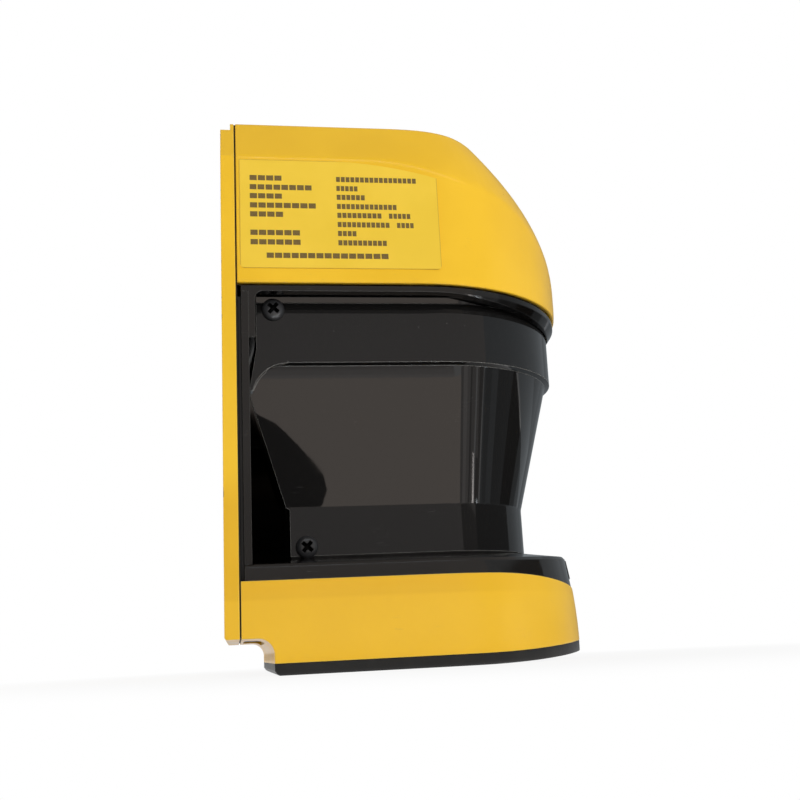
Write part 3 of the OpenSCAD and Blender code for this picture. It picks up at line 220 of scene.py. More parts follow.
def build_floor():
    material = bpy.data.materials.new("floor_paper")
    material.use_nodes = True
    nodes, links = material.node_tree.nodes, material.node_tree.links
    shader = nodes["Principled BSDF"]
    shader.inputs["Base Color"].default_value = FLOOR_PAPER
    shader.inputs["Roughness"].default_value = 0.9
    shader.inputs["Specular IOR Level"].default_value = 0.0
    white = nodes.new("ShaderNodeEmission")
    place = nodes.new("ShaderNodeNewGeometry")
    reach = nodes.new("ShaderNodeVectorMath")
    reach.operation = "LENGTH"
    links.new(place.outputs["Position"], reach.inputs[0])
    fade = nodes.new("ShaderNodeMapRange")
    fade.interpolation_type = "SMOOTHSTEP"
    for name, number in zip(FADE_SOCKETS, FLOOR_FADE):
        fade.inputs[name].default_value = number
    links.new(reach.outputs["Value"], fade.inputs["Value"])
    share = nodes.new("ShaderNodeMath")
    share.operation = "MULTIPLY"
    links.new(fade.outputs[0], share.inputs[1])
    blend = nodes.new("ShaderNodeMixShader")
    links.new(background_rays(nodes, links), share.inputs[0])
    links.new(share.outputs[0], blend.inputs[0])
    links.new(shader.outputs[0], blend.inputs[1])
    links.new(white.outputs[0], blend.inputs[2])
    links.new(blend.outputs[0], nodes["Material Output"].inputs["Surface"])
    half = FLOOR_HALF
    flat_card("floor", [(-half, -half, 0), (half, -half, 0), (half, half, 0), (-half, half, 0)], material)


def reflection_card(name, corners, colour, strength):
    """Card that only mirrors and gloss can see."""
    material = bpy.data.materials.new(name)
    material.use_nodes = True
    nodes, links = material.node_tree.nodes, material.node_tree.links
    nodes.clear()
    glow = nodes.new("ShaderNodeEmission")
    glow.inputs["Color"].default_value = (*colour, 1)
    glow.inputs["Strength"].default_value = strength
    out = nodes.new("ShaderNodeOutputMaterial")
    links.new(glow.outputs[0], out.inputs["Surface"])
    card = flat_card(name, corners, material)
    card.visible_camera = False
    card.visible_diffuse = False
    card.visible_shadow = False
    card.visible_transmission = False


def across_x(x, start, end, low, high):
    """Corners of an upright card that looks along X."""
    return [(x, start, low), (x, end, low), (x, end, high), (x, start, high)]


def across_y(y, start, end, low, high):
    """Corners of an upright card that looks along Y."""
    return [(start, y, low), (end, y, low), (end, y, high), (start, y, high)]


def floor_card(name, corners, colour, strength, layer):
    """Reflection card that lies on the floor, above those of a lower layer."""
    lifted = [(x, y, CARD_LIFT * (layer + 1)) for x, y in corners]
    reflection_card(name, lifted, colour, strength)


def floor_wedge(name, far_turns, near_turns, reach, colour, strength):
    """Floor card between two directions, counted from -X towards the front."""
    near, far = reach
    turns = (near_turns[0], far_turns[0], far_turns[1], near_turns[1])
    corners = []
    for turn, radius in zip(turns, (near, far, far, near)):
        angle = math.radians(turn)
        corners.append((-radius * math.cos(angle), -radius * math.sin(angle)))
    floor_card(name, corners, colour, strength, STREAK_LAYER)


def build_studio():
    place_camera()
    build_world()
    build_floor()
    for name, place, size, watts in LAMPS:
        softbox(name, place, size, watts)
    for k, (*extent, strength) in enumerate(SIDE_PANELS):
        reflection_card(f"side_panel_{k}", across_x(ROOM_LEFT, *extent), WARM, strength)
    for k, (*extent, strength) in enumerate(FRONT_PANELS):
        reflection_card(f"front_panel_{k}", across_y(ROOM_FRONT, *extent), COOL, strength)
    far_wall = across_x(ROOM_RIGHT, ROOM_FRONT, ROOM_BACK, 0.0, ROOM_TOP)
    reflection_card("far_panel", far_wall, COOL, FAR_WALL_GLOW)
    ceiling = [
        (ROOM_LEFT, ROOM_FRONT, ROOM_TOP), (ROOM_LEFT, ROOM_BACK, ROOM_TOP),
        (ROOM_RIGHT, ROOM_BACK, ROOM_TOP), (ROOM_RIGHT, ROOM_FRONT, ROOM_TOP),
    ]
    reflection_card("dim_ceiling", ceiling, WARM, CEILING_GLOW)
    reflection_card("rear_glint", across_y(*REAR_GLINT), COOL, REAR_GLOW)
    floor_card("window_floor", WINDOW_FLOOR, SAND, WINDOW_FLOOR_GLOW, FLOOR_LAYER)
    floor_card("dark_corner", DARK_CORNER, WARM, DARK_CORNER_GLOW, CORNER_LAYER)
    for k, (start, end, strength) in enumerate(FAR_BANDS):
        corners = [(start, FAR_BACK), (end, FAR_BACK), (end, FAR_EDGE), (start, FAR_EDGE)]
        floor_card(f"far_band_{k}", corners, WARM, strength, BAND_LAYER)
    floor_card("edge_glint", EDGE_GLINT, COOL, EDGE_GLINT_GLOW, FLOOR_LAYER)
    reflection_card("edge_light", across_x(*EDGE_LIGHT), COOL, EDGE_LIGHT_GLOW)
    for k, streak in enumerate(FLOOR_STREAKS):
        floor_wedge(f"floor_streak_{k}", *streak)


# ---------------------------------------------------------------- node groups
class Tree:
    """Adds nodes to one shader tree and joins them."""

    def __init__(self, tree):
        self.nodes = tree.nodes
        self.links = tree.links

    def add(self, kind, **values):
        node = self.nodes.new("ShaderNode" + kind)
        for name, value in values.items():
            self.feed(node.inputs[name], value)
        return node

    def feed(self, socket, value):
        if isinstance(value, bpy.types.NodeSocket):
            self.links.new(value, socket)
        elif isinstance(value, bpy.types.Node):
            self.links.new(value.outputs[0], socket)
        else:
            socket.default_value = value

    def maths(self, operation, *values):
        node = self.nodes.new("ShaderNodeMath")
        node.operation = operation
        for socket, value in zip(node.inputs, values):
            self.feed(socket, value)
        return node.outputs[0]

    def fade(self, value, low, high, start=0.0, end=1.0):
        """Smooth step of a value between two limits."""
        node = self.nodes.new("ShaderNodeMapRange")
        node.interpolation_type = "SMOOTHSTEP"
        for name, number in zip(FADE_SOCKETS, (low, high, start, end)):
            self.feed(node.inputs[name], number)
        self.feed(node.inputs["Value"], value)
        return node.outputs[0]

    def blend(self, factor, first, second):
        node = self.nodes.new("ShaderNodeMix")
        node.data_type = "RGBA"
        self.feed(node.inputs["Factor"], factor)
        self.feed(node.inputs["A"], first)
        self.feed(node.inputs["B"], second)
        return node.outputs["Result"]

    def tint(self, colour, mask, share, tone):
        """A colour turned to a tone by a share of a mask."""
        return self.blend(self.maths("MULTIPLY", mask, share), colour, tone)

    def place(self):
        """Position on the scanner in millimetres."""
        where = self.add("TexCoord")
        scaled = self.nodes.new("ShaderNodeVectorMath")
        scaled.operation = "SCALE"
        self.feed(scaled.inputs[0], where.outputs["Object"])
        scaled.inputs["Scale"].default_value = MM_PER_M
        return scaled.outputs[0]

    def group(self, tree, **values):
        node = self.nodes.new("ShaderNodeGroup")
        node.node_tree = tree
        for name, value in values.items():
            self.feed(node.inputs[name], value)
        return node


def new_group(name, inputs, outputs):
    tree = bpy.data.node_groups.new(name, "ShaderNodeTree")
    for label, default in inputs:
        socket = tree.interface.new_socket(label, in_out="INPUT", socket_type="NodeSocketFloat")
        socket.default_value = default
    for label in outputs:
        tree.interface.new_socket(label, in_out="OUTPUT", socket_type="NodeSocketFloat")
    work = Tree(tree)
    return tree, work, tree.nodes.new("NodeGroupInput"), tree.nodes.new("NodeGroupOutput")


def grain_group():
    """Fine skin of moulded or sprayed surfaces: a height, and a slow change of tone."""
    tree, work, given, result = new_group(
        "surface_grain", [("Size", 0.5), ("Patch", 20)], ["Height", "Tone"]
    )
    place = work.place()
    size = work.maths("DIVIDE", 1, given.outputs["Size"])
    fine = work.add("TexNoise", Vector=place, Scale=size, Detail=2.0)
    patch = work.maths("DIVIDE", 1, given.outputs["Patch"])
    slow = work.add("TexNoise", Vector=place, Scale=patch, Detail=3.0)
    work.feed(result.inputs["Height"], fine.outputs[0])
    work.feed(result.inputs["Tone"], slow.outputs[0])
    return tree


def specks_group():
    """Scattered dots, such as dust or small chips, with uneven outlines and sizes."""
    wobble_height, least_size, least_radius = 0.25, 0.4, 0.1
    tree, work, given, result = new_group(
        "scattered_specks", [("Spacing", 4), ("Size", 0.2), ("Share", 0.3)], ["Mask"]
    )
    place = work.place()
    wobble = work.add("TexNoise", Vector=place, Scale=4.0, Detail=2.0)
    cells = work.add("TexVoronoi", Vector=place, Scale=work.maths("DIVIDE", 1, given.outputs["Spacing"]))
    apart = work.maths("MULTIPLY", cells.outputs["Distance"], given.outputs["Spacing"])
    rough = work.maths("MULTIPLY_ADD", wobble.outputs[0], wobble_height, apart)
    pick = work.add("SeparateColor", Color=cells.outputs["Color"])
    scale = work.maths("ADD", pick.outputs["Green"], least_size)
    own_size = work.maths("MULTIPLY", given.outputs["Size"], scale)
    inside = work.maths("LESS_THAN", rough, work.maths("ADD", own_size, least_radius))
    chosen = work.maths("LESS_THAN", pick.outputs["Red"], given.outputs["Share"])
    work.feed(result.inputs["Mask"], work.maths("MULTIPLY", inside, chosen))
    return tree


def hairlines_group():
    """Thin scratches that run mostly one way, in patches."""
    stretch, line_width = (0.6, 0.05, 1.4), 0.006
    middle, patch_limit, patch_edge = 0.5, 0.72, 0.05
    tree, work, given, result = new_group("hairline_scratches", [("Turn", 0.5), ("Share", 0.1)], ["Mask"])
    mapping = work.add("Mapping", Vector=work.place())
    turn = work.add("CombineXYZ", X=given.outputs["Turn"])
    work.feed(mapping.inputs["Rotation"], turn.outputs[0])
    mapping.inputs["Scale"].default_value = stretch
    lines = work.add("TexNoise", Vector=mapping.outputs[0], Scale=1.0, Detail=1.0)
    apart = work.maths("ABSOLUTE", work.maths("SUBTRACT", lines.outputs[0], middle))
    thin = work.fade(apart, 0.0, line_width, 1.0, 0.0)
    where = work.add("TexNoise", Vector=work.place(), Scale=0.09, Detail=2.0)
    limit = work.maths("SUBTRACT", patch_limit, given.outputs["Share"])
    present = work.fade(where.outputs[0], limit, work.maths("ADD", limit, patch_edge))
    work.feed(result.inputs["Mask"], work.maths("MULTIPLY", thin, present))
    return tree


def edges_group():
    """Rounded edges: a normal that bends round them, a mask on them for painted edge highlights, and chips
    along the rear edge.
    """
    edge_bend = (0.05, 0.2)
    chip_level, chip_fade, rear_face = 0.8, 0.3, 0.03
    tree, work, given, result = new_group(
        "rounded_edges_highlight_and_chips", [("Radius", 0.3), ("Reach", 1.0), ("Share", 0.3)], ["Edge", "Chip"]
    )
    tree.interface.new_socket("Normal", in_out="OUTPUT", socket_type="NodeSocketVector")
    shape = work.add("NewGeometry")
    bevel = work.nodes.new("ShaderNodeBevel")
    bevel.samples = 5
    work.feed(bevel.inputs["Radius"], work.maths("MULTIPLY", given.outputs["Radius"], MM))
    dot = work.nodes.new("ShaderNodeVectorMath")
    dot.operation = "DOT_PRODUCT"
    work.feed(dot.inputs[0], shape.outputs["Normal"])
    work.feed(dot.inputs[1], bevel.outputs["Normal"])
    bent = work.maths("SUBTRACT", 1, dot.outputs["Value"])
    work.feed(result.inputs["Edge"], work.fade(bent, *edge_bend))
    work.feed(result.inputs["Normal"], bevel.outputs["Normal"])
    place = work.place()
    axis = work.add("SeparateXYZ", Vector=place)
    behind = work.maths("SUBTRACT", REAR_Y / MM, axis.outputs["Y"])
    patchy = work.add("TexNoise", Vector=place, Scale=0.35, Detail=4.0)
    level = work.maths("SUBTRACT", chip_level, given.outputs["Share"])
    near = work.fade(behind, 0.0, given.outputs["Reach"], 0.0, chip_fade)
    chipped = work.maths("GREATER_THAN", patchy.outputs[0], work.maths("ADD", level, near))
    off_face = work.maths("GREATER_THAN", behind, rear_face)
    work.feed(result.inputs["Chip"], work.maths("MULTIPLY", chipped, off_face))
    return tree


def recess_group():
    """Mask of painted shade: the deep recess between the rear column and the window, and the undersides
    behind it.
    """
    sides, depths, window_back = (43.6, 44.2), (40.0, 43.0), (50.0, 51.0)
    upper_fade, upper_share, facing_down = 12, 0.35, (-0.8, -0.6)
    tree, work, given, result = new_group("shaded_recess", [("Top", 60.0)], ["Mask"])
    axis = work.add("SeparateXYZ", Vector=work.place())
    across = work.maths("ABSOLUTE", axis.outputs["X"])
    inside = work.fade(across, *sides, 1.0, 0.0)
    top = given.outputs["Top"]
    upper = work.fade(axis.outputs["Z"], top, work.maths("ADD", top, upper_fade))
    behind = work.fade(axis.outputs["Y"], *depths)
    lower = work.maths("MULTIPLY", work.maths("SUBTRACT", 1, upper), behind)
    share = work.maths("MULTIPLY_ADD", upper, upper_share, lower)
    facing = work.add("SeparateXYZ", Vector=work.add("NewGeometry").outputs["Normal"])
    underside = work.fade(facing.outputs["Z"], *facing_down, 1.0, 0.0)
    behind_window = work.fade(axis.outputs["Y"], *window_back)
    hidden = work.maths("MULTIPLY", underside, behind_window)
    mask = work.maths("MAXIMUM", work.maths("MULTIPLY", inside, share), hidden)
    work.feed(result.inputs["Mask"], mask)
    return tree


def rear_facing_group():
    """Mask of the faces that look back into the chamber, which the window's finish paints black as shade.
    """
    spread = 0.25
    tree, work, given, result = new_group("rear_facing", [("Limit", 0.3)], ["Mask"])
    axis = work.add("SeparateXYZ", Vector=work.add("NewGeometry").outputs["Normal"])
    limit = given.outputs["Limit"]
    work.feed(result.inputs["Mask"], work.fade(axis.outputs["Y"], limit, work.maths("ADD", limit, spread)))
    return tree


def painted_base_shade_group():
    """Painted shade on the base: a darker tone, strongest on its upper band and towards the rear, in uneven
    patches.
    """
    band_fade, base_top = 1.2, (40.0, 50.0)
    front_to_rear, patches = (-38.0, 8.0, 0.1, 1.0), (0.3, 0.7, 0.8, 1.0)
    tree, work, given, result = new_group("painted_base_shade_mask", [("Band", 18.0), ("Rest", 0.4)], ["Mask"])
    place = work.place()
    axis = work.add("SeparateXYZ", Vector=place)
    band = given.outputs["Band"]
    band_end = work.maths("ADD", band, band_fade)
    level = work.fade(axis.outputs["Z"], band, band_end, given.outputs["Rest"], 1.0)
    below = work.fade(axis.outputs["Z"], *base_top, 1.0, 0.0)
    rear = work.fade(axis.outputs["Y"], *front_to_rear)
    patchy = work.add("TexNoise", Vector=place, Scale=0.05, Detail=3.0)
    uneven = work.fade(patchy.outputs[0], *patches)
    on_base = work.maths("MULTIPLY", level, below)
    mask = work.maths("MULTIPLY", on_base, work.maths("MULTIPLY", rear, uneven))
    work.feed(result.inputs["Mask"], mask)
    return tree


def label_edge_group():
    """Mask of the cut edge of the label."""
    tree, work, given, result = new_group("label_edge", [("Width", 0.25)], ["Mask"])
    axis = work.add("SeparateXYZ", Vector=work.place())
    low, high = LABEL_LOW / MM, LABEL_HIGH / MM
    nearest = work.maths("SUBTRACT", axis.outputs["Y"], low.y)
    for value in (
        work.maths("SUBTRACT", high.y, axis.outputs["Y"]),
        work.maths("SUBTRACT", axis.outputs["Z"], low.z),
        work.maths("SUBTRACT", high.z, axis.outputs["Z"]),
    ):
        nearest = work.maths("MINIMUM", nearest, value)
    work.feed(result.inputs["Mask"], work.fade(nearest, 0.0, given.outputs["Width"], 1.0, 0.0))
    return tree


GRAIN = grain_group()
SPECKS = specks_group()
HAIRLINES = hairlines_group()
EDGES = edges_group()
RECESS = recess_group()
REAR_FACING = rear_facing_group()
PAINTED_BASE_SHADE = painted_base_shade_group()
LABEL_EDGE = label_edge_group()


# ---------------------------------------------------------------- finishes
# Limits of the slow noise between which a finish goes from its first tone to its second.
SOFT_TONES = (0.35, 0.65)
WIDE_TONES = (0.3, 0.7)
ENAMEL_ROUGHNESS = (0.30, 0.40)
ENAMEL_TONES = (0.815, 0.476, 0.011, 1), (0.852, 0.505, 0.014, 1)
ENAMEL_PAINTED_SHADE = (0.735, 0.405, 0.004, 1)
ENAMEL_EDGE_HIGHLIGHT = (1.0, 0.82, 0.22, 1)
ENAMEL_SCRATCH = (0.55, 0.33, 0.05, 1)
ENAMEL_CHIP = (0.22, 0.12, 0.03, 1)
FILM_TONES = (0.81, 0.535, 0.032, 1), (0.85, 0.565, 0.040, 1)
FILM_SPECK = (0.45, 0.27, 0.05, 1)
FILM_CUT = (0.40, 0.22, 0.02, 1)
INK_TONES = (0.12, 0.075, 0.016, 1), (0.18, 0.115, 0.026, 1)
GLOSS_DUST = (0.14, 0.135, 0.13, 1)
SATIN_DUST = (0.14, 0.13, 0.12, 1)
UNLIT_BLACK = (0.0008, 0.0007, 0.0006, 1)
SCREW_RECESS_SHADE = (0.002, 0.002, 0.002, 1)
PALE_EDGE_HIGHLIGHT = (0.20, 0.195, 0.185, 1)
BRIGHT_EDGE_HIGHLIGHT = (0.50, 0.49, 0.46, 1)


def toned(colour, factor):
    """Darker or paler copy of a colour."""
    return (colour[0] * factor, colour[1] * factor, colour[2] * factor, 1)


def new_finish(name, roughness, metallic=0.0, coat=0.0, specular=0.5):
    material = bpy.data.materials.new(name)
    material.use_nodes = True
    work = Tree(material.node_tree)
    shader = material.node_tree.nodes["Principled BSDF"]
    shader.inputs["Roughness"].default_value = roughness
    shader.inputs["Metallic"].default_value = metallic
    shader.inputs["Coat Weight"].default_value = coat
    shader.inputs["Specular IOR Level"].default_value = specular
    return material, work, shader


def raise_skin(work, shader, height, depth_mm, normal=None):
    """Give a finish its relief, over the normal that rounds its edges."""
    bump = work.add("Bump", Height=height, Distance=depth_mm * MM)
    bump.inputs["Strength"].default_value = 1.0
    if normal:
        work.feed(bump.inputs["Normal"], normal)
    work.feed(shader.inputs["Normal"], bump.outputs[0])


def housing_paint():
    """Sprayed yellow enamel with painted edge highlights, painted shade on the base, small marks and
    chipped rear edges.
    """
    material, work, shader = new_finish("yellow_enamel", 0.34, coat=0.12, specular=0.4)
    shader.inputs["Coat Roughness"].default_value = 0.06
    grain = work.group(GRAIN, Size=0.9, Patch=26)
    edge_highlight_and_wear = work.group(EDGES, Radius=0.4, Reach=0.7, Share=0.16)
    specks = work.group(SPECKS, Spacing=6, Size=0.35, Share=0.3)
    lines = work.group(HAIRLINES, Turn=0.4, Share=0.12)
    shade_band = work.group(PAINTED_BASE_SHADE, Band=17.6, Rest=0.45)
    tone = work.fade(grain.outputs["Tone"], *SOFT_TONES)
    colour = work.blend(tone, *ENAMEL_TONES)
    # Painted shade: the base turns darker on its upper band and towards the rear.
    colour = work.blend(shade_band.outputs[0], colour, ENAMEL_PAINTED_SHADE)
    # Painted highlight: the rounded edges turn a paler yellow.
    colour = work.tint(colour, edge_highlight_and_wear.outputs["Edge"], 0.6, ENAMEL_EDGE_HIGHLIGHT)
    colour = work.tint(colour, lines.outputs[0], 0.35, ENAMEL_SCRATCH)
    marks = work.maths("MAXIMUM", specks.outputs[0], edge_highlight_and_wear.outputs["Chip"])
    colour = work.tint(colour, marks, 0.75, ENAMEL_CHIP)
    work.feed(shader.inputs["Base Color"], colour)
    work.feed(shader.inputs["Roughness"], work.fade(grain.outputs["Tone"], *WIDE_TONES, *ENAMEL_ROUGHNESS))
    dents = work.maths("SUBTRACT", grain.outputs["Height"], marks)
    raise_skin(work, shader, dents, 0.006, edge_highlight_and_wear.outputs["Normal"])
    return material


def black_gloss(name, base, roughness, edge, edge_highlight_tone, shade=None):
    """Polished black moulding with painted pale edge highlights, fine scratches and dust, and painted shade
    where a group marks it.
    """
    smear_tones, smeared = (0.45, 0.75), 0.05
    material, work, shader = new_finish(name, roughness)
    grain = work.group(GRAIN, Size=2.5, Patch=14)
    edge_highlight_and_wear = work.group(EDGES, Radius=0.35, Reach=1.0, Share=0.0)
    specks = work.group(SPECKS, Spacing=4, Size=0.12, Share=0.3)
    lines = work.group(HAIRLINES, Turn=0.9, Share=0.10)
    marks = work.maths("MAXIMUM", specks.outputs[0], work.maths("MULTIPLY", lines.outputs[0], 0.5))
    colour = work.tint(base, marks, 0.6, GLOSS_DUST)
    # Painted highlight: the rounded edges turn paler.
    colour = work.tint(colour, edge_highlight_and_wear.outputs["Edge"], edge, edge_highlight_tone)
    if shade:
        # Painted shade: the masked faces take an unlit black colour, and a metal as dark as this mirrors
        # next to nothing, which takes the gloss off them.
        painted_shade = work.group(shade)
        colour = work.blend(painted_shade.outputs[0], colour, UNLIT_BLACK)
        work.feed(shader.inputs["Metallic"], work.fade(painted_shade.outputs[0], 0.0, 1.0))
    work.feed(shader.inputs["Base Color"], colour)
    smear = work.fade(grain.outputs["Tone"], *smear_tones, roughness, roughness + smeared)
    work.feed(shader.inputs["Roughness"], smear)
    raise_skin(work, shader, grain.outputs["Height"], 0.0012, edge_highlight_and_wear.outputs["Normal"])
    return material


def black_satin(name, base, roughness, size, depth, specular=0.3):
    """Textured black plastic, rubber or blackened steel."""
    material, work, shader = new_finish(name, roughness, specular=specular)
    grain = work.group(GRAIN, Size=size, Patch=9)
    specks = work.group(SPECKS, Spacing=5, Size=0.12, Share=0.2)
    edge_highlight_and_wear = work.group(EDGES, Radius=0.3, Reach=1.0, Share=0.0)
    colour = work.blend(work.fade(grain.outputs["Tone"], 0.35, 0.7), base, toned(base, 1.7))
    colour = work.tint(colour, specks.outputs[0], 0.4, SATIN_DUST)
    work.feed(shader.inputs["Base Color"], colour)
    raise_skin(work, shader, grain.outputs["Height"], depth, edge_highlight_and_wear.outputs["Normal"])
    return material


def label_film():
    """Satin yellow film with a slightly darker cut edge."""
    material, work, shader = new_finish("label_film", 0.28)
    grain = work.group(GRAIN, Size=0.6, Patch=18)
    specks = work.group(SPECKS, Spacing=8, Size=0.1, Share=0.25)
    tone = work.fade(grain.outputs["Tone"], *SOFT_TONES)
    colour = work.blend(tone, *FILM_TONES)
    colour = work.tint(colour, specks.outputs[0], 0.5, FILM_SPECK)
    edge = work.group(LABEL_EDGE, Width=0.3)
    colour = work.tint(colour, edge.outputs[0], 0.7, FILM_CUT)
    work.feed(shader.inputs["Base Color"], colour)
    raise_skin(work, shader, grain.outputs["Height"], 0.003)
    return material


def lined_metal(name, base, roughness, depth=0.004):
    """Turned or rolled metal with a fine grain."""
    rougher = 0.15
    material, work, shader = new_finish(name, roughness, metallic=1.0)
    grain = work.group(GRAIN, Size=0.3, Patch=8)
    tone = work.fade(grain.outputs["Tone"], *SOFT_TONES)
    work.feed(shader.inputs["Base Color"], work.blend(tone, toned(base, 0.75), base))
    lines = work.fade(grain.outputs["Height"], *WIDE_TONES, roughness, roughness + rougher)
    work.feed(shader.inputs["Roughness"], lines)
    raise_skin(work, shader, grain.outputs["Height"], depth)
    return material


def inner_finish(name, base, roughness):
    """Inner piece with a soft change of tone and a fine grain."""
    material, work, shader = new_finish(name, roughness)
    grain = work.group(GRAIN, Size=0.4, Patch=6)
    tone = work.fade(grain.outputs["Tone"], *WIDE_TONES)
    work.feed(shader.inputs["Base Color"], work.blend(tone, toned(base, 0.8), base))
    raise_skin(work, shader, grain.outputs["Height"], 0.006)
    return material


GLOSS_BLACK = (0.0085, 0.0072, 0.0062, 1)
SMOKED_WINDOW = (0.0080, 0.0076, 0.0074, 1)
SMOKED_LENS = (0.010, 0.009, 0.0085, 1)
FINISHES = {
    "housing_paint": housing_paint(),
    "label_film": label_film(),
    "gloss_black": black_gloss("gloss_black", GLOSS_BLACK, 0.07, 0.3, PALE_EDGE_HIGHLIGHT, RECESS),
    "satin_black": black_satin("satin_black", (0.0075, 0.007, 0.0062, 1), 0.42, 0.5, 0.02),
    "seal_rubber": black_satin("seal_rubber", (0.008, 0.0075, 0.007, 1), 0.65, 0.3, 0.02),
    "smoked_window": black_gloss("smoked_window", SMOKED_WINDOW, 0.02, 0.75, BRIGHT_EDGE_HIGHLIGHT, REAR_FACING),
    "smoked_lens": black_gloss("smoked_lens", SMOKED_LENS, 0.06, 0.3, PALE_EDGE_HIGHLIGHT),
    "black_screw": black_satin("black_oxide", (0.019, 0.019, 0.020, 1), 0.34, 0.4, 0.006, 0.6),
    "plain_steel": lined_metal("plain_steel", (0.55, 0.56, 0.58, 1), 0.25),
    "copper_wire": lined_metal("enamelled_copper", (0.60, 0.27, 0.10, 1), 0.3, 0.02),
    "dark_ferrite": inner_finish("dark_ferrite", (0.05, 0.05, 0.055, 1), 0.6),
    "mirror_glass": lined_metal("mirror_coating", (0.88, 0.90, 0.91, 1), 0.02, 0.0005),
    "lens_glass": inner_finish("lens_glass", (0.25, 0.32, 0.36, 1), 0.05),
    "brass_barrel": lined_metal("turned_brass", (0.72, 0.52, 0.22, 1), 0.22),
    "circuit_board": inner_finish("circuit_board", (0.02, 0.14, 0.06, 1), 0.4),
    "chip_plastic": inner_finish("chip_plastic", (0.025, 0.025, 0.028, 1), 0.5),
    "indicator_plastic": inner_finish("indicator_plastic", (0.65, 0.32, 0.05, 1), 0.2),
    "ribbon_film": inner_finish("ribbon_film", (0.55, 0.30, 0.05, 1), 0.3),
}
SLOTS = {part["node"]: part["material_slot"] for part in frame["record"]["subparts"]}


def finished_mesh(work, name):
    """Mesh of a bmesh whose faces all look outward."""
    bmesh.ops.recalc_face_normals(work, faces=work.faces)
    mesh = bpy.data.meshes.new(name)
    work.to_mesh(mesh)
    work.free()
    return mesh


def add_piece(name, mesh, body, slot, *replaced):
    """New piece of the scanner with its finish."""
    piece = bpy.data.objects.new(name, mesh)
    scene.collection.objects.link(piece)
    mesh.materials.clear()
    mesh.materials.append(FINISHES[slot])
    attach(piece, body)
    if replaced:
        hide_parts(*replaced)
    return piece


# ---------------------------------------------------------------- rounded skins
WELD = 2e-6
FLAT_ANGLE = 0.3
ROUNDING_STEPS = 3
# Width of the rounding in millimetres, least angle that is rounded, and least angle that stays crisp.
ROUNDING_MM = {
    "rear_housing": (0.45, 24, 60),
    "base_housing": (0.35, 28, 60),
    "bottom_plate": (0.3, 32, 60),
    "base_trim": (0.35, 28, 60),
    "head_plate": (0.25, 32, 60),
    "rear_frame": (0.2, 32, 60),
    "window": (0.25, 24, 9),
}

# The window's rings as they are, height and half width, and as the finer skin has them.
WINDOW_RINGS = [
    (80.2, 37.9, 81.3, 38.2), (99.3, 39.66, 98.95, 39.0),
    (99.8, 39.1, 99.15, 38.85), (101.2, 39.1, 101.2, 39.6),
]
RING_HEIGHT_FIT = 0.06
RING_WIDTH_FIT = 0.12
# Seam above the window's corner blocks: least half width, heights and the step that is closed.
SEAM_HALF = 39.7
SEAM_LOW, SEAM_HIGH = 81.8, 83.2
SEAM_STEP = 0.06
# Long corners of the rear housing's ridge: half width and share of the length along Y that they have at
# least, how close to the top they are, least bend in degrees, and rounding.
RIDGE_HALF = 30
RIDGE_ALONG = 0.5
RIDGE_FIT = 0.05
RIDGE_BEND = 20
RIDGE_ROUND = 1.1
RIDGE_STEPS = 5


def finer_window(work):
    """Thin step under the flange, and a top band that leans outward."""
    for vertex in work.verts:
        x, y, z = vertex.co / MM
        half = abs(x) if y > 0 else math.hypot(x, y)
        for level, ring, new_level, new_ring in WINDOW_RINGS:
            if abs(z - level) < RING_HEIGHT_FIT and abs(half - ring) < RING_WIDTH_FIT:
                vertex.co.z = new_level * MM
                vertex.co.x = x * new_ring / half * MM
                if y <= 0:
                    vertex.co.y = y * new_ring / half * MM
    outer = [v for v in work.verts if abs(v.co.x) > SEAM_HALF * MM]
    seam = [v for v in outer if SEAM_LOW * MM < v.co.z < SEAM_HIGH * MM]
    bmesh.ops.remove_doubles(work, verts=seam, dist=SEAM_STEP * MM)


def rounded_ridge(work):
    """Broad rounding of the long corners of the rear housing's ridge."""
    top = max(v.co.z for v in work.verts)
    corners = []
    for edge in work.edges:
        first, second = (v.co for v in edge.verts)
        level = min(first.z, second.z)
        along = abs(second.y - first.y) > RIDGE_ALONG * (second - first).length
        bent = edge.calc_face_angle(0) > math.radians(RIDGE_BEND)
        if along and bent and level > top - RIDGE_FIT * MM and abs(first.x) > RIDGE_HALF * MM:
            corners.append(edge)
    bmesh.ops.bevel(
        work, geom=corners, offset=RIDGE_ROUND * MM, offset_type="OFFSET", segments=RIDGE_STEPS,
        profile=0.5, affect="EDGES", clamp_overlap=True,
    )


def round_skin(node, width, angle, crease):
    """Smooth copy of a solid with rounded edges, which stands for it."""
    source = frame["nodes"][node]
    mesh = source.data.copy()
    work = bmesh.new()
    work.from_mesh(mesh)
    bmesh.ops.remove_doubles(work, verts=work.verts, dist=WELD)
    if node == "window":
        finer_window(work)
    flat = math.radians(FLAT_ANGLE)
    bmesh.ops.dissolve_limit(work, angle_limit=flat, verts=work.verts, edges=work.edges)
    if node == "rear_housing":
        rounded_ridge(work)
    for face in work.faces:
        face.smooth = True
    for edge in work.edges:
        edge.smooth = edge.calc_face_angle(0) < math.radians(crease)
    work.to_mesh(mesh)
    work.free()
    piece = add_piece(node + "_skin", mesh, source["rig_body"], SLOTS[node], node)
    bevel = piece.modifiers.new("rounding", "BEVEL")
    bevel.width = width * MM
    bevel.segments = ROUNDING_STEPS
    bevel.limit_method = "ANGLE"
    bevel.angle_limit = math.radians(angle)
    bevel.use_clamp_overlap = True
    normals = piece.modifiers.new("normals", "WEIGHTED_NORMAL")
    normals.keep_sharp = True


